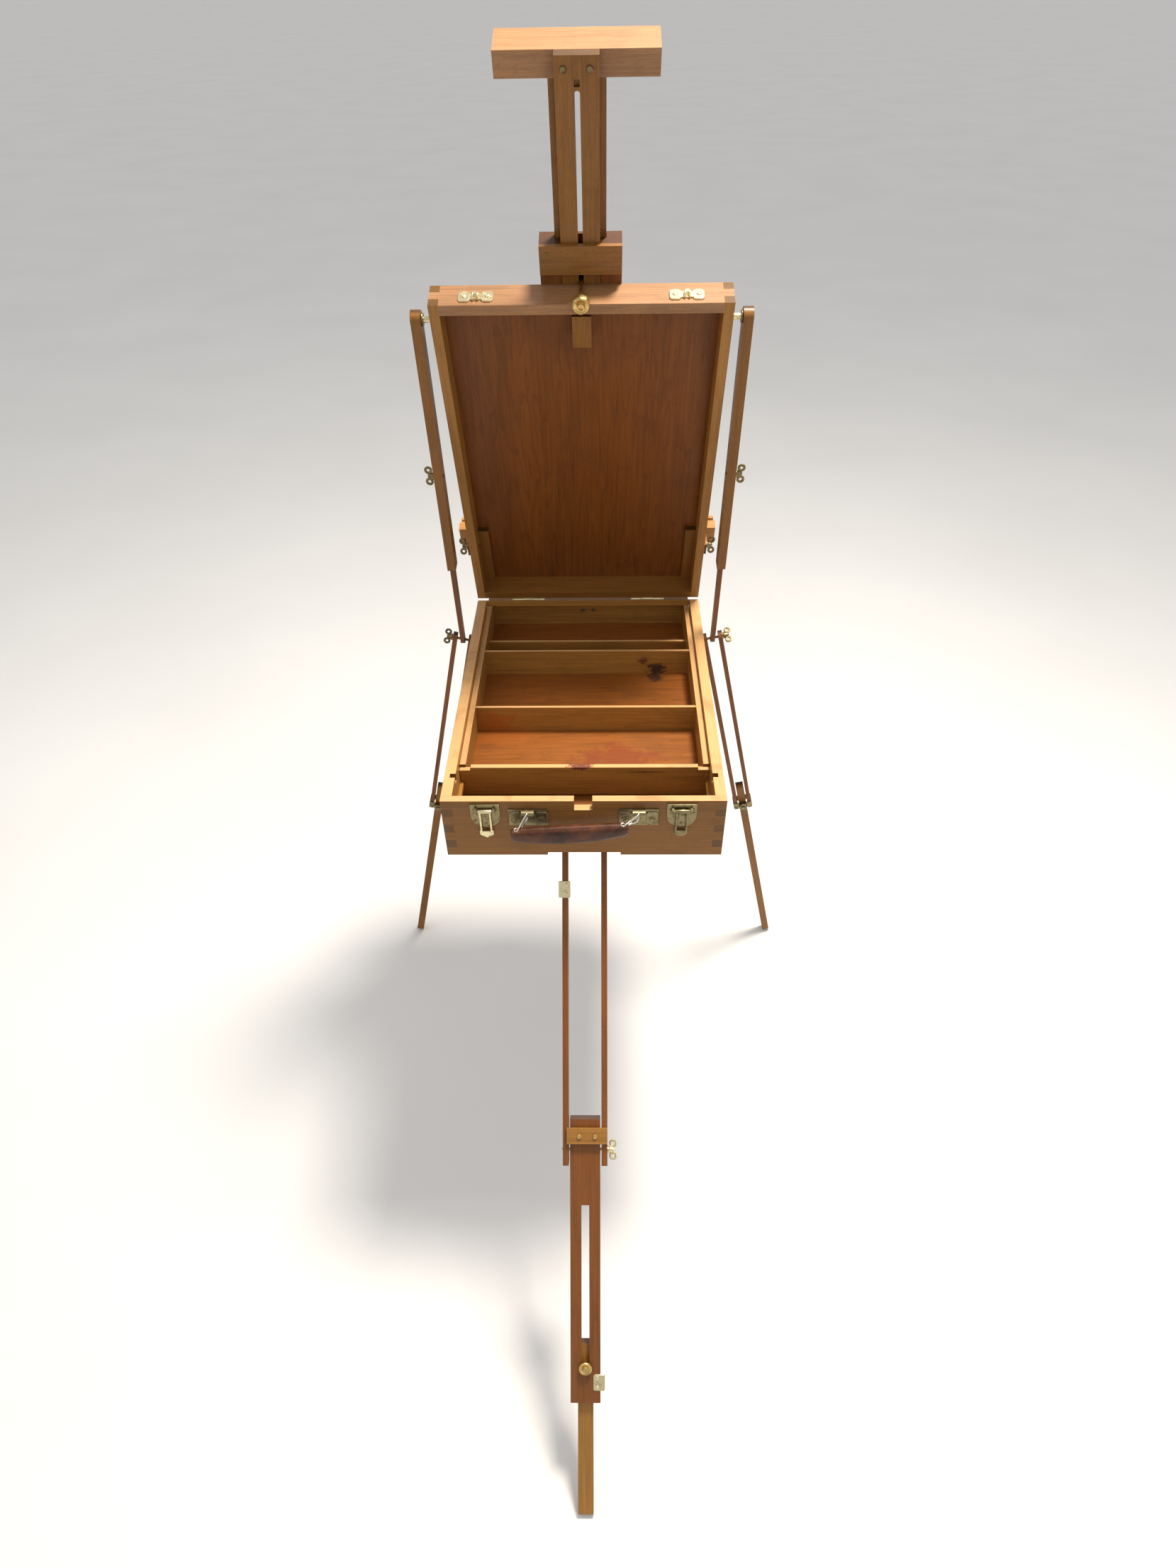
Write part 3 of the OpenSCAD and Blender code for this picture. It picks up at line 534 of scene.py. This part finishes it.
def slab(bm, outline, place, low, high, bevel=0.4):
    """A flat plate of an outline in millimetres, from low to high along place's Z, its upper rim bevelled."""
    count = len(outline)
    centre = (sum(p[0] for p in outline) / count, sum(p[1] for p in outline) / count)

    def level(height, inset):
        ring = []
        for x, y in outline:
            away = Vector((x - centre[0], y - centre[1]))
            inward = away * (1 - inset / max(away.length, inset * 2))
            corner = Vector((centre[0] + inward.x, centre[1] + inward.y, height))
            ring.append(bm.verts.new(place @ (corner * MM)))
        return ring

    rings = [level(low, 0), level(high - bevel, 0), level(high, bevel)]
    for a, b in zip(rings, rings[1:]):
        for i in range(count):
            j = (i + 1) % count
            bm.faces.new((a[i], a[j], b[j], b[i]))
    bm.faces.new(list(reversed(rings[0])))
    bm.faces.new(rings[-1])


def arc(cx, cy, r, start, end, steps=10):
    return [
        (cx + r * math.cos(math.radians(start + (end - start) * k / steps)),
         cy + r * math.sin(math.radians(start + (end - start) * k / steps)))
        for k in range(steps + 1)
    ]


def round_rect(w, h, r):
    """A rectangle of full width w and height h with rounded corners, centred."""
    x, y = w / 2 - r, h / 2 - r
    corners = ((x, y), (-x, y), (-x, -y), (x, -y))
    return [p for i, (cx, cy) in enumerate(corners) for p in arc(cx, cy, r, 90 * i, 90 * (i + 1), 5)]


def make(name, build, material, body, replaced=(), smooth=35):
    """Builds a mesh piece with build(bm) and lets it ride on a body."""
    bm = bmesh.new()
    build(bm)
    bmesh.ops.recalc_face_normals(bm, faces=bm.faces)
    mesh = bpy.data.meshes.new(name)
    bm.to_mesh(mesh)
    bm.free()
    obj = bpy.data.objects.new(name, mesh)
    bpy.context.scene.collection.objects.link(obj)
    paint(obj, material)
    mesh.shade_smooth()
    mesh.set_sharp_from_angle(angle=math.radians(smooth))
    if replaced:
        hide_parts(*replaced)
    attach(obj, body)
    return obj


# ---------------------------------------------------------------- wing nuts and knobs


def ear(bm, place, outer, inner, thick):
    """A pierced round ear in place's X-Z plane: a ring with a rounded edge."""
    turns, around = 28, 10
    mid, half = (outer + inner) / 2, (outer - inner) / 2
    rings = []
    for i in range(turns):
        a = math.tau * i / turns
        ring = []
        for k in range(around):
            b = math.tau * k / around
            c, s = math.cos(b), math.sin(b)
            r = mid + half * math.copysign(abs(c) ** 0.5, c)
            y = thick / 2 * math.copysign(abs(s) ** 0.6, s)
            ring.append(bm.verts.new(place @ Vector((r * math.cos(a) * MM, y * MM, r * math.sin(a) * MM))))
        rings.append(ring)
    for i in range(turns):
        low, high = rings[i], rings[(i + 1) % turns]
        for k in range(around):
            j = (k + 1) % around
            bm.faces.new((low[k], low[j], high[j], high[k]))


HUB = (
    (0, 0), (6, 0), (6, 1.9), (5.2, 2.9), (4.7, 4.2), (4.3, 8.2),
    (3.9, 9.2), (2.9, 9.6), (2.7, 9.2), (2.7, 8.6), (0, 8.6),
)


def wing_nut(name, node, body, seat, out, along, shank, material):
    """A pierced wing nut with its base at seat, pointing out, on a bolt that reaches shank mm back."""

    def build(bm):
        place = placed(seat, out, along)
        lathe(bm, HUB, place, 32)
        for side in (-1, 1):
            lean = Matrix.Translation(Vector((side * 9.3 * MM, 0, 9 * MM)))
            ear(bm, place @ lean, 6.2, 2.3, 2.5)
            neck = [
                place @ Vector((side * 2.5 * MM, 0, 4.6 * MM)),
                place @ Vector((side * 4.4 * MM, 0, 5.6 * MM)),
                place @ Vector((side * 6.4 * MM, 0, 6.6 * MM)),
            ]
            tube(bm, neck, 1.5, 10)
        lathe(bm, ((0, 10.6), (1.9, 10.6), (2.3, 10.1), (2.3, -shank), (0, -shank)), place, 20)

    make(name, build, material, body, (node,))


for side, sign in SIDES:
    out = X * sign
    centre = joint_pos("strut_nut_turn_" + side)
    half_channel = (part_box(side + "_strut_channel")[1].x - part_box(side + "_strut_channel")[0].x) / 2
    wing_nut("strut_nut_" + side, "strut_wing_nuts_" + side, "strut_nut_" + side,
             centre + out * half_channel, out, STRUT_UP, 15, dark_brass)
    arm_low, arm_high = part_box("ledge_arms")
    nut = joint_pos("ledge_nut_turn_" + side)
    wing_nut("ledge_nut_" + side, side + "_ledge_wing_nut", "ledge_nut_" + side,
             Vector((sign * arm_high.x, nut.y, nut.z)), out, LID_UP + LID_BACK * 0.4, 20, dark_brass)
    tilt = joint_axis("leg_nut_turn_" + side)
    if tilt.x * sign < 0:
        tilt = -tilt
    wing_nut("leg_nut_" + side, side + "_leg_wing_nut", "leg_nut_" + side,
             joint_pos("leg_nut_turn_" + side) + tilt * 18.6 * MM, tilt, Y + Z * 0.5, 36, dark_brass)
knee_seat = joint_pos("knee_nut_turn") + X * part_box("front_leg_rails")[1].x
wing_nut("knee_nut", "front_leg_wing_nut", "knee_nut",
         knee_seat, X, FRONT_DOWN + FRONT_FACE * 0.15, 70, brass)


def knurl(count, depth, low, high):
    """A ripple of fine ridges between two heights."""

    def ripple(angle, radius, height):
        return depth * math.cos(count * angle) if low <= height <= high else 0

    return ripple


def knob(name, node, body, seat, out, radius, height, shank, material):
    """A turned clamp knob with a ridged rim, a dished face and a plain screw end."""
    r, h = radius, height
    profile = (
        (0, 0), (r * 0.55, 0), (r * 0.62, 0.6), (r * 0.86, 0.9), (r * 0.97, 1.6), (r, 2.2), (r, h - 2.4),
        (r * 0.96, h - 1.5), (r * 0.84, h - 0.7), (r * 0.74, h - 0.9), (r * 0.60, h - 2.0),
        (r * 0.42, h - 2.2), (r * 0.36, h - 0.4), (r * 0.28, h), (0, h),
    )

    def build(bm):
        place = placed(seat, out, X if abs(out.x) < 0.7 else Y)
        lathe(bm, profile, place, 96, knurl(32, 0.28, 1.8, h - 2.0))
        lathe(bm, ((0, -shank), (2.2, -shank), (2.4, -shank + 0.4), (2.4, 0.5), (0, 0.5)), place, 20)

    make(name, build, material, body, (node,))


CLAMP_OUT = -LID_BACK
clamp_seat = joint_pos("mast_clamp_turn") - CLAMP_OUT * 4.5 * MM
knob("mast_knob", "mast_clamp_knob", "mast_clamp", clamp_seat, CLAMP_OUT, 11.5, 12.5, 66, gold)
for side, sign in SIDES:
    axis = joint_axis("leg_knob_turn_" + side)
    collar = joint_pos("leg_knob_turn_" + side) + axis * 12.3 * MM
    knob("leg_knob_" + side + "_cap", side + "_leg_knob", "leg_knob_" + side, collar, axis, 8.5, 9, 3, bronze)
foot_axis = joint_axis("foot_knob_turn")
knob("foot_knob", "front_foot_knob", "foot_front_knob",
     joint_pos("foot_knob_turn") + foot_axis * 0.3 * MM, foot_axis, 10, 9, 16, gold)


# ---------------------------------------------------------------- screws and rivets


def screw(bm, at, out, radius=3.6, height=1.5, cross=False):
    """A domed screw head with a slot cut as a sunken bar."""
    place = placed(at, out, X + Z * 0.3 + Y * 0.2)
    r, h = radius, height
    profile = (
        (0, -0.1), (r, -0.1), (r, h * 0.35), (r * 0.9, h * 0.72), (r * 0.62, h * 0.97),
        (r * 0.55, h * 0.97), (r * 0.5, h * 0.62), (0, h * 0.62),
    )
    lathe(bm, profile, place, 28)
    for turn in ((0, 90) if cross else (0,)):
        bar = place @ Matrix.Rotation(math.radians(turn + 20), 4, "Z")
        slab(bm, round_rect(r * 1.5, r * 0.26, r * 0.1), bar, h * 0.5, h * 0.86, 0.1)


def rivet(bm, at, out, radius=5.5, height=2.2):
    """A set rivet: a domed middle in a shallow ring."""
    place = placed(at, out, X)
    r, h = radius, height
    profile = (
        (r, -0.1), (r * 0.98, h * 0.3), (r * 0.86, h * 0.42), (r * 0.70, h * 0.22), (r * 0.60, h * 0.25),
        (r * 0.50, h * 0.72), (r * 0.30, h * 0.95), (0, h),
    )
    lathe(bm, profile, place, 36)


HEAD_FRONT = 44.3
lid_hinge = joint_pos("lid_tilt")


def in_lid(x, up, back):
    """A point in millimetres: across, up the lid from its hinge, and back from its open face."""
    return lid_hinge + X * x * MM + LID_UP * up * MM + LID_BACK * back * MM


leg_top = joint_pos("front_leg_fold")


def on_leg(x, down, front):
    """A point in millimetres: across, down the front leg from its pivot, and out of its front face."""
    return leg_top + X * x * MM + FRONT_DOWN * down * MM + FRONT_FACE * front * MM


def head_screws(bm):
    for x in (-15, 15):
        screw(bm, in_lid(x, 805, HEAD_FRONT - 0.7), -LID_BACK, 3.7, 1.6)


def cross_screws(bm):
    for x in (-9, 15):
        screw(bm, on_leg(x, 479, 17.8), FRONT_FACE, 3.7, 1.6, True)


def bridge_pins(bm):
    for x in (-43, 43):
        for y in (587, 607):
            nail = placed(in_lid(x, y, 37.7), -LID_BACK, X + LID_UP * 2)
            slab(bm, round_rect(1.6, 4.2, 0.7), nail, -0.3, 0.5, 0.2)


def catch_screws(bm):
    for sign in (-1, 1):
        for x in (-16, 16):
            screw(bm, in_lid(sign * 140 + x, 563.3 + 2.4, 17), LID_UP, 3.4, 1.5, True)


def catches(bm):
    """Two-lobed plates on the lid's end with the bent hooks that the loops catch."""
    for sign in (-1, 1):
        mid = in_lid(sign * 140, 563.3, 17)
        place = placed(mid, LID_UP, X)
        for x in (-15.5, 15.5):
            slab(bm, round_rect(16, 21, 5.0), place @ Matrix.Translation((x * MM, 0, 0)), 0.05, 2.3, 0.8)
        slab(bm, round_rect(26, 12, 2.0), place, 0.05, 2.0, 0.6)
        for x in (-3.2, 3.2):
            bend = [in_lid(sign * 140 + x, 563.3 + up, back) for up, back in
                    ((1.5, 9.5), (4.2, 11.0), (6.2, 14.0), (6.4, 17.5), (4.6, 20.5), (1.6, 22.0))]
            tube(bm, smooth_path(bend), 1.1, 10)
        hook = placed(in_lid(sign * 140, 563.3 + 5.6, 17.2), LID_UP, X)
        slab(bm, round_rect(8.6, 5.6, 1.2), hook, -0.6, 1.3, 0.5)


make("catch_plates", catches, brass, "lid", ("lid_catch_plates",))


def pull_screws(bm):
    low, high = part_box("tray_front_panel")
    for x in (-10, 10):
        screw(bm, Vector((x * MM, low.y - 0.0008, (low.z + high.z) / 2 + 0.008)), -Y, 3.6, 1.3, True)


make("mast_head_screws", head_screws, dark_brass, "mast")
make("crosspiece_screws", cross_screws, gold, "leg_front")
make("bridge_nails", bridge_pins, dark_brass, "lid")
make("catch_screws", catch_screws, brass, "lid")
make("pull_screws", pull_screws, dark_brass, "tray")


def strut_bolts(side, sign):
    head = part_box(side + "_strut_channel")
    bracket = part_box("strut_brackets")
    head_at = in_lid(0, 530.3, 22)

    def build(bm):
        at = Vector((sign * max(abs(head[0].x), abs(head[1].x)), head_at.y, head_at.z))
        rivet(bm, at, X * sign, 6.0, 2.8)
        washer = placed(Vector((sign * (bracket[1].x + 0.0004), head_at.y, head_at.z)), X * sign, Z)
        profile = ((3.5, -2.4), (8.0, -2.4), (8.4, -1.8), (8.4, -0.9), (8.0, -0.4), (3.5, -0.4), (3.5, -2.4))
        lathe(bm, profile, washer, 36)

    make("strut_bolt_" + side, build, bronze, "strut_upper_" + side)


for side, sign in SIDES:
    strut_bolts(side, sign)


# ---------------------------------------------------------------- catch plates on the front leg


def catch_plate(bm, centre, screws_x):
    """A stamped plate with cut corners and two screws, on the face of the front leg."""
    place = placed(centre, FRONT_FACE, X)
    slab(bm, round_rect(18, 25.5, 3.0), place, -1.8, 0.4, 0.5)
    for y in (-7.5, 7.5):
        at = centre + (X * screws_x + FRONT_DOWN * y + FRONT_FACE * 0.3) * MM
        screw(bm, at, FRONT_FACE, 2.7, 0.9, True)


def upper_catch(bm):
    catch_plate(bm, on_leg(-30.5, 103.5, 13.6), 3)


def lower_catch(bm):
    catch_plate(bm, on_leg(21, 863, 9.6), -3)


make("upper_catch_plate", upper_catch, brass, "leg_front")
make("lower_catch_plate", lower_catch, brass, "leg_front_lower")


# ---------------------------------------------------------------- latches

LATCH_X, LATCH_Z = 140, 79
PIN_Y, PIN_Z = -5, 91


def latch_dress(bm):
    """The rolled top edge, the spring housing and the rivets of both latch plates."""
    for sign in (-1, 1):
        x0 = sign * LATCH_X
        top = placed(in_box(x0, -1.2, LATCH_Z + 20.6), -Y, X)
        slab(bm, round_rect(43, 3.4, 1.2), top, -0.6, 1.2, 0.5)
        box_at = placed(in_box(x0, -1.5, LATCH_Z + 2.5), -Y, X)
        slab(bm, round_rect(12.5, 22, 2.0), box_at, -0.4, 1.4, 0.5)
        slab(bm, round_rect(8.5, 15, 1.5), box_at, 1.2, 2.0, 0.4)
        for dx in (-15.5, 15.5):
            rivet(bm, in_box(x0 + dx, -1.6, LATCH_Z + 12), -Y, 2.6, 1.3)
        rivet(bm, in_box(x0, -1.6, LATCH_Z - 14), -Y, 2.4, 1.2)


make("latch_housings", latch_dress, bronze, "box")


def sprung_loop(name, node, body, sign, tip, material, wire, spread):
    """Two bars hung from the pin, joined at the bottom by a shaped finger plate."""

    def build(bm):
        pin = in_box(sign * LATCH_X, PIN_Y, PIN_Z)
        barrel = placed(pin - X * 9.6 * MM, X, Z)
        profile = ((1.5, 0), (2.6, 0), (2.8, 0.4), (2.8, 18.8), (2.6, 19.2), (1.5, 19.2), (1.5, 0))
        lathe(bm, profile, barrel, 24)
        for x in (-spread, spread):
            points = [pin + Vector((x, y, z)) * MM for x, y, z in
                      ((x, -0.2, 0), (x, -0.4, -4), (x, -0.4, -14), (x, -0.4, -26), (x, -0.4, -38.5))]
            tube(bm, smooth_path(points), wire, 12)
        plate = placed(pin + Vector((0, 0.6, 0)) * MM, -Y, X)
        slab(bm, tip, plate, -0.6, 2.0, 0.6)

    make(name, build, material, body, (node,))


SHIELD = (
    (-9.2, -35.5), (-7.0, -37.0), (7.0, -37.0), (9.2, -35.5), (10, -38), (10, -43.5), (7.5, -46.0),
    (4.0, -47.6), (0, -49.8), (-4.0, -47.6), (-7.5, -46.0), (-10, -43.5), (-10, -38),
)
HOOK = (
    (-8.0, -36.0), (8.0, -36.0), (9.6, -38.5), (9.0, -42.0), (6.0, -45.5), (3.0, -46.6),
    (0, -47.0), (-3.0, -46.6), (-6.0, -45.5), (-9.0, -42.0), (-9.6, -38.5),
)
sprung_loop("left_loop", "left_latch_loop", "latch_left", -1, tuple(reversed(SHIELD)), brass, 1.7, 7.2)
sprung_loop("right_loop", "right_latch_loop", "latch_right", 1, tuple(reversed(HOOK)), bronze, 1.5, 7.6)


# ---------------------------------------------------------------- handle

BRACKET_X, BRACKET_Z = 79, 77
HANDLE_PIN = in_box(0, -7, 88)
GRIP_LEFT, GRIP_RIGHT = -103, 64
GRIP_Y = -24
GRIP_Z = 65


def bracket_dress(bm):
    """The pressed lobes and rivets on both handle brackets."""
    for sign in (-1, 1):
        for dx in (-19, 19):
            lobe = placed(in_box(sign * BRACKET_X + dx, -2, BRACKET_Z - 1), -Y, X)
            slab(bm, round_rect(17.5, 25, 4.0), lobe, -0.4, 1.6, 0.9)
            rivet(bm, in_box(sign * BRACKET_X + dx, -3.4, BRACKET_Z - 3), -Y, 6.2, 2.4)


make("bracket_lobes", bracket_dress, bronze, "box")


def grip_section(t):
    """Centre height, half height and half depth of the grip, in millimetres, from end -1 to end 1."""
    bulge = 1 - abs(t) ** 2.2
    half_h = 9.5 + 5.6 * bulge
    taper = 1 - 0.25 * max(0.0, abs(t) - 0.95) / 0.05
    return GRIP_Z + 5.5 * t + 4.5 * t**2, half_h * taper, (6.8 + 2.2 * bulge) * taper


def grip(bm):
    """The crescent: a flat top strip, two rounded cheeks and a sewn lower edge."""
    steps, around = 64, 40
    rings = []
    for i in range(steps + 1):
        t = -1 + 2 * i / steps
        x = GRIP_LEFT + (GRIP_RIGHT - GRIP_LEFT) * (t + 1) / 2
        mid, half_h, half_d = grip_section(t)
        ring = []
        for k in range(around):
            a = math.tau * k / around
            c, s = math.cos(a), math.sin(a)
            swell = 1 - 0.055 * math.exp(-((math.degrees(a) - 62) / 6) ** 2)
            swell -= 0.055 * math.exp(-((math.degrees(a) - 118) / 6) ** 2)
            swell -= 0.045 * math.exp(-((math.degrees(a) - 268) / 5) ** 2)
            y = half_d * math.copysign(abs(c) ** 0.72, c) * swell
            z = half_h * math.copysign(abs(s) ** 0.80, s) * swell
            ring.append(bm.verts.new(in_box(x, GRIP_Y + y, mid + z)))
        rings.append(ring)
    for low, high in zip(rings, rings[1:]):
        for k in range(around):
            j = (k + 1) % around
            bm.faces.new((low[k], low[j], high[j], high[k]))
    for ring in (rings[0], rings[-1]):
        middle = bm.verts.new(sum((v.co for v in ring), Vector()) / around)
        for k in range(around):
            bm.faces.new((ring[k], ring[(k + 1) % around], middle))


make("handle_leather", grip, hide, "handle", ("handle_grip",), 60)


def stitches(bm):
    """Saddle stitches along the grip's lower edge."""
    count = 34
    for i in range(count):
        t = -0.86 + 1.72 * i / (count - 1)
        x = GRIP_LEFT + (GRIP_RIGHT - GRIP_LEFT) * (t + 1) / 2
        mid, half_h, half_d = grip_section(t)
        y = GRIP_Y - half_d * 0.60
        z = mid - half_h * 0.76
        bend = ((-1.3, 0.5), (-0.7, -0.35), (0.7, -0.35), (1.3, 0.5))
        ends = [in_box(x + dx, y + dy, z) for dx, dy in bend]
        tube(bm, ends, 0.34, 8)


make("handle_stitches", stitches, stitch, "handle")


def ring_wires(bm):
    """A bent wire from each bracket's sleeve to the grip's end."""
    for sign, end in ((-1, GRIP_LEFT + 8), (1, GRIP_RIGHT - 8)):
        pin = HANDLE_PIN + X * sign * BRACKET_X * MM
        mid = grip_section(-0.9 if sign < 0 else 0.9)[0]
        front = [
            pin,
            pin + Vector((-0.5, -2.6, 3.4)) * MM,
            pin + Vector((-2.0, -6.5, 2.8)) * MM,
            in_box((pin.x / MM + end) / 2, (-7 + GRIP_Y) / 2 - 4, (88 + mid) / 2 + 6),
            in_box(end + 1.5, GRIP_Y - 3, mid + 9.5),
            in_box(end, GRIP_Y - 1, mid + 2),
        ]
        back = [
            pin,
            pin + Vector((-0.3, -1.5, -5.0)) * MM,
            pin + Vector((-3.0, -5.0, -10.0)) * MM,
            in_box((pin.x / MM + end) / 2 + 1, (-7 + GRIP_Y) / 2 + 2, (88 + mid) / 2 - 5),
            in_box(end + 3, GRIP_Y + 4, mid + 2),
            in_box(end, GRIP_Y + 2, mid),
        ]
        tube(bm, smooth_path(front), 1.45, 12)
        tube(bm, smooth_path(back), 1.45, 12)
        eye = placed(in_box(end, GRIP_Y - 0.5, mid + grip_section(0.9)[1] - 1.2), Z, X)
        lathe(bm, ((2.0, -1.0), (3.6, -1.0), (3.9, 0.6), (3.2, 1.4), (2.0, 1.2), (2.0, -1.0)), eye, 28)


make("handle_rings", ring_wires, steel, "handle")


# ---------------------------------------------------------------- floor, light and camera

low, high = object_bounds()
bpy.ops.mesh.primitive_plane_add(size=900, location=(0, 0, low.z - 0.0005))
floor = bpy.context.object
floor.name = "studio_floor"
paint(floor, floor_paint("floor_paint"))


def area_light(name, place, target, size, power, colour):
    data = bpy.data.lights.new(name, "AREA")
    data.shape = "DISK"
    data.size = size
    data.energy = power
    data.color = colour
    obj = bpy.data.objects.new(name, data)
    bpy.context.scene.collection.objects.link(obj)
    obj.location = place
    obj.rotation_mode = "QUATERNION"
    obj.rotation_quaternion = (Vector(target) - Vector(place)).to_track_quat("-Z", "Y")
    return obj


middle = (low + high) / 2
area_light("key", middle + Vector((0.6, 0.7, 2.5)), middle, 0.6, 120, (1.0, 0.93, 0.82))
area_light("fill", middle + Vector((1.6, -2.4, 1.6)), middle, 2.4, 9, (1.0, 0.95, 0.90))
area_light("side", middle + Vector((-2.4, -0.6, 1.8)), middle, 2.0, 9, (1.0, 0.96, 0.92))
world = bpy.data.worlds.new("studio")
world.use_nodes = True
world.node_tree.nodes["Background"].inputs["Color"].default_value = (0.97, 0.97, 0.98, 1)
world.node_tree.nodes["Background"].inputs["Strength"].default_value = 0.62
bpy.context.scene.view_settings.view_transform = "Standard"
bpy.context.scene.world = world

# The camera stands at eye height on the handle side and looks down into the open box.
CAMERA = in_box(29.9, -985.0, 978.3)
PITCH, YAW, ROLL = math.radians(43.243), math.radians(-1.374), math.radians(-1.012)
LENS = 21.449
SHIFT = 0.0289
look = Vector((math.sin(YAW) * math.cos(PITCH), math.cos(YAW) * math.cos(PITCH), -math.sin(PITCH)))
level = look.cross(Z).normalized()
upward = level.cross(look)
right = level * math.cos(ROLL) + upward * math.sin(ROLL)
top = upward * math.cos(ROLL) - level * math.sin(ROLL)
data = bpy.data.cameras.new("photo_camera")
data.sensor_width = 36
data.lens = LENS
data.shift_y = SHIFT
data.dof.use_dof = False
camera = bpy.data.objects.new("photo_camera", data)
bpy.context.scene.collection.objects.link(camera)
m = Matrix((right, top, -look)).transposed().to_4x4()
m.translation = CAMERA
camera.matrix_world = m
bpy.context.scene.camera = camera
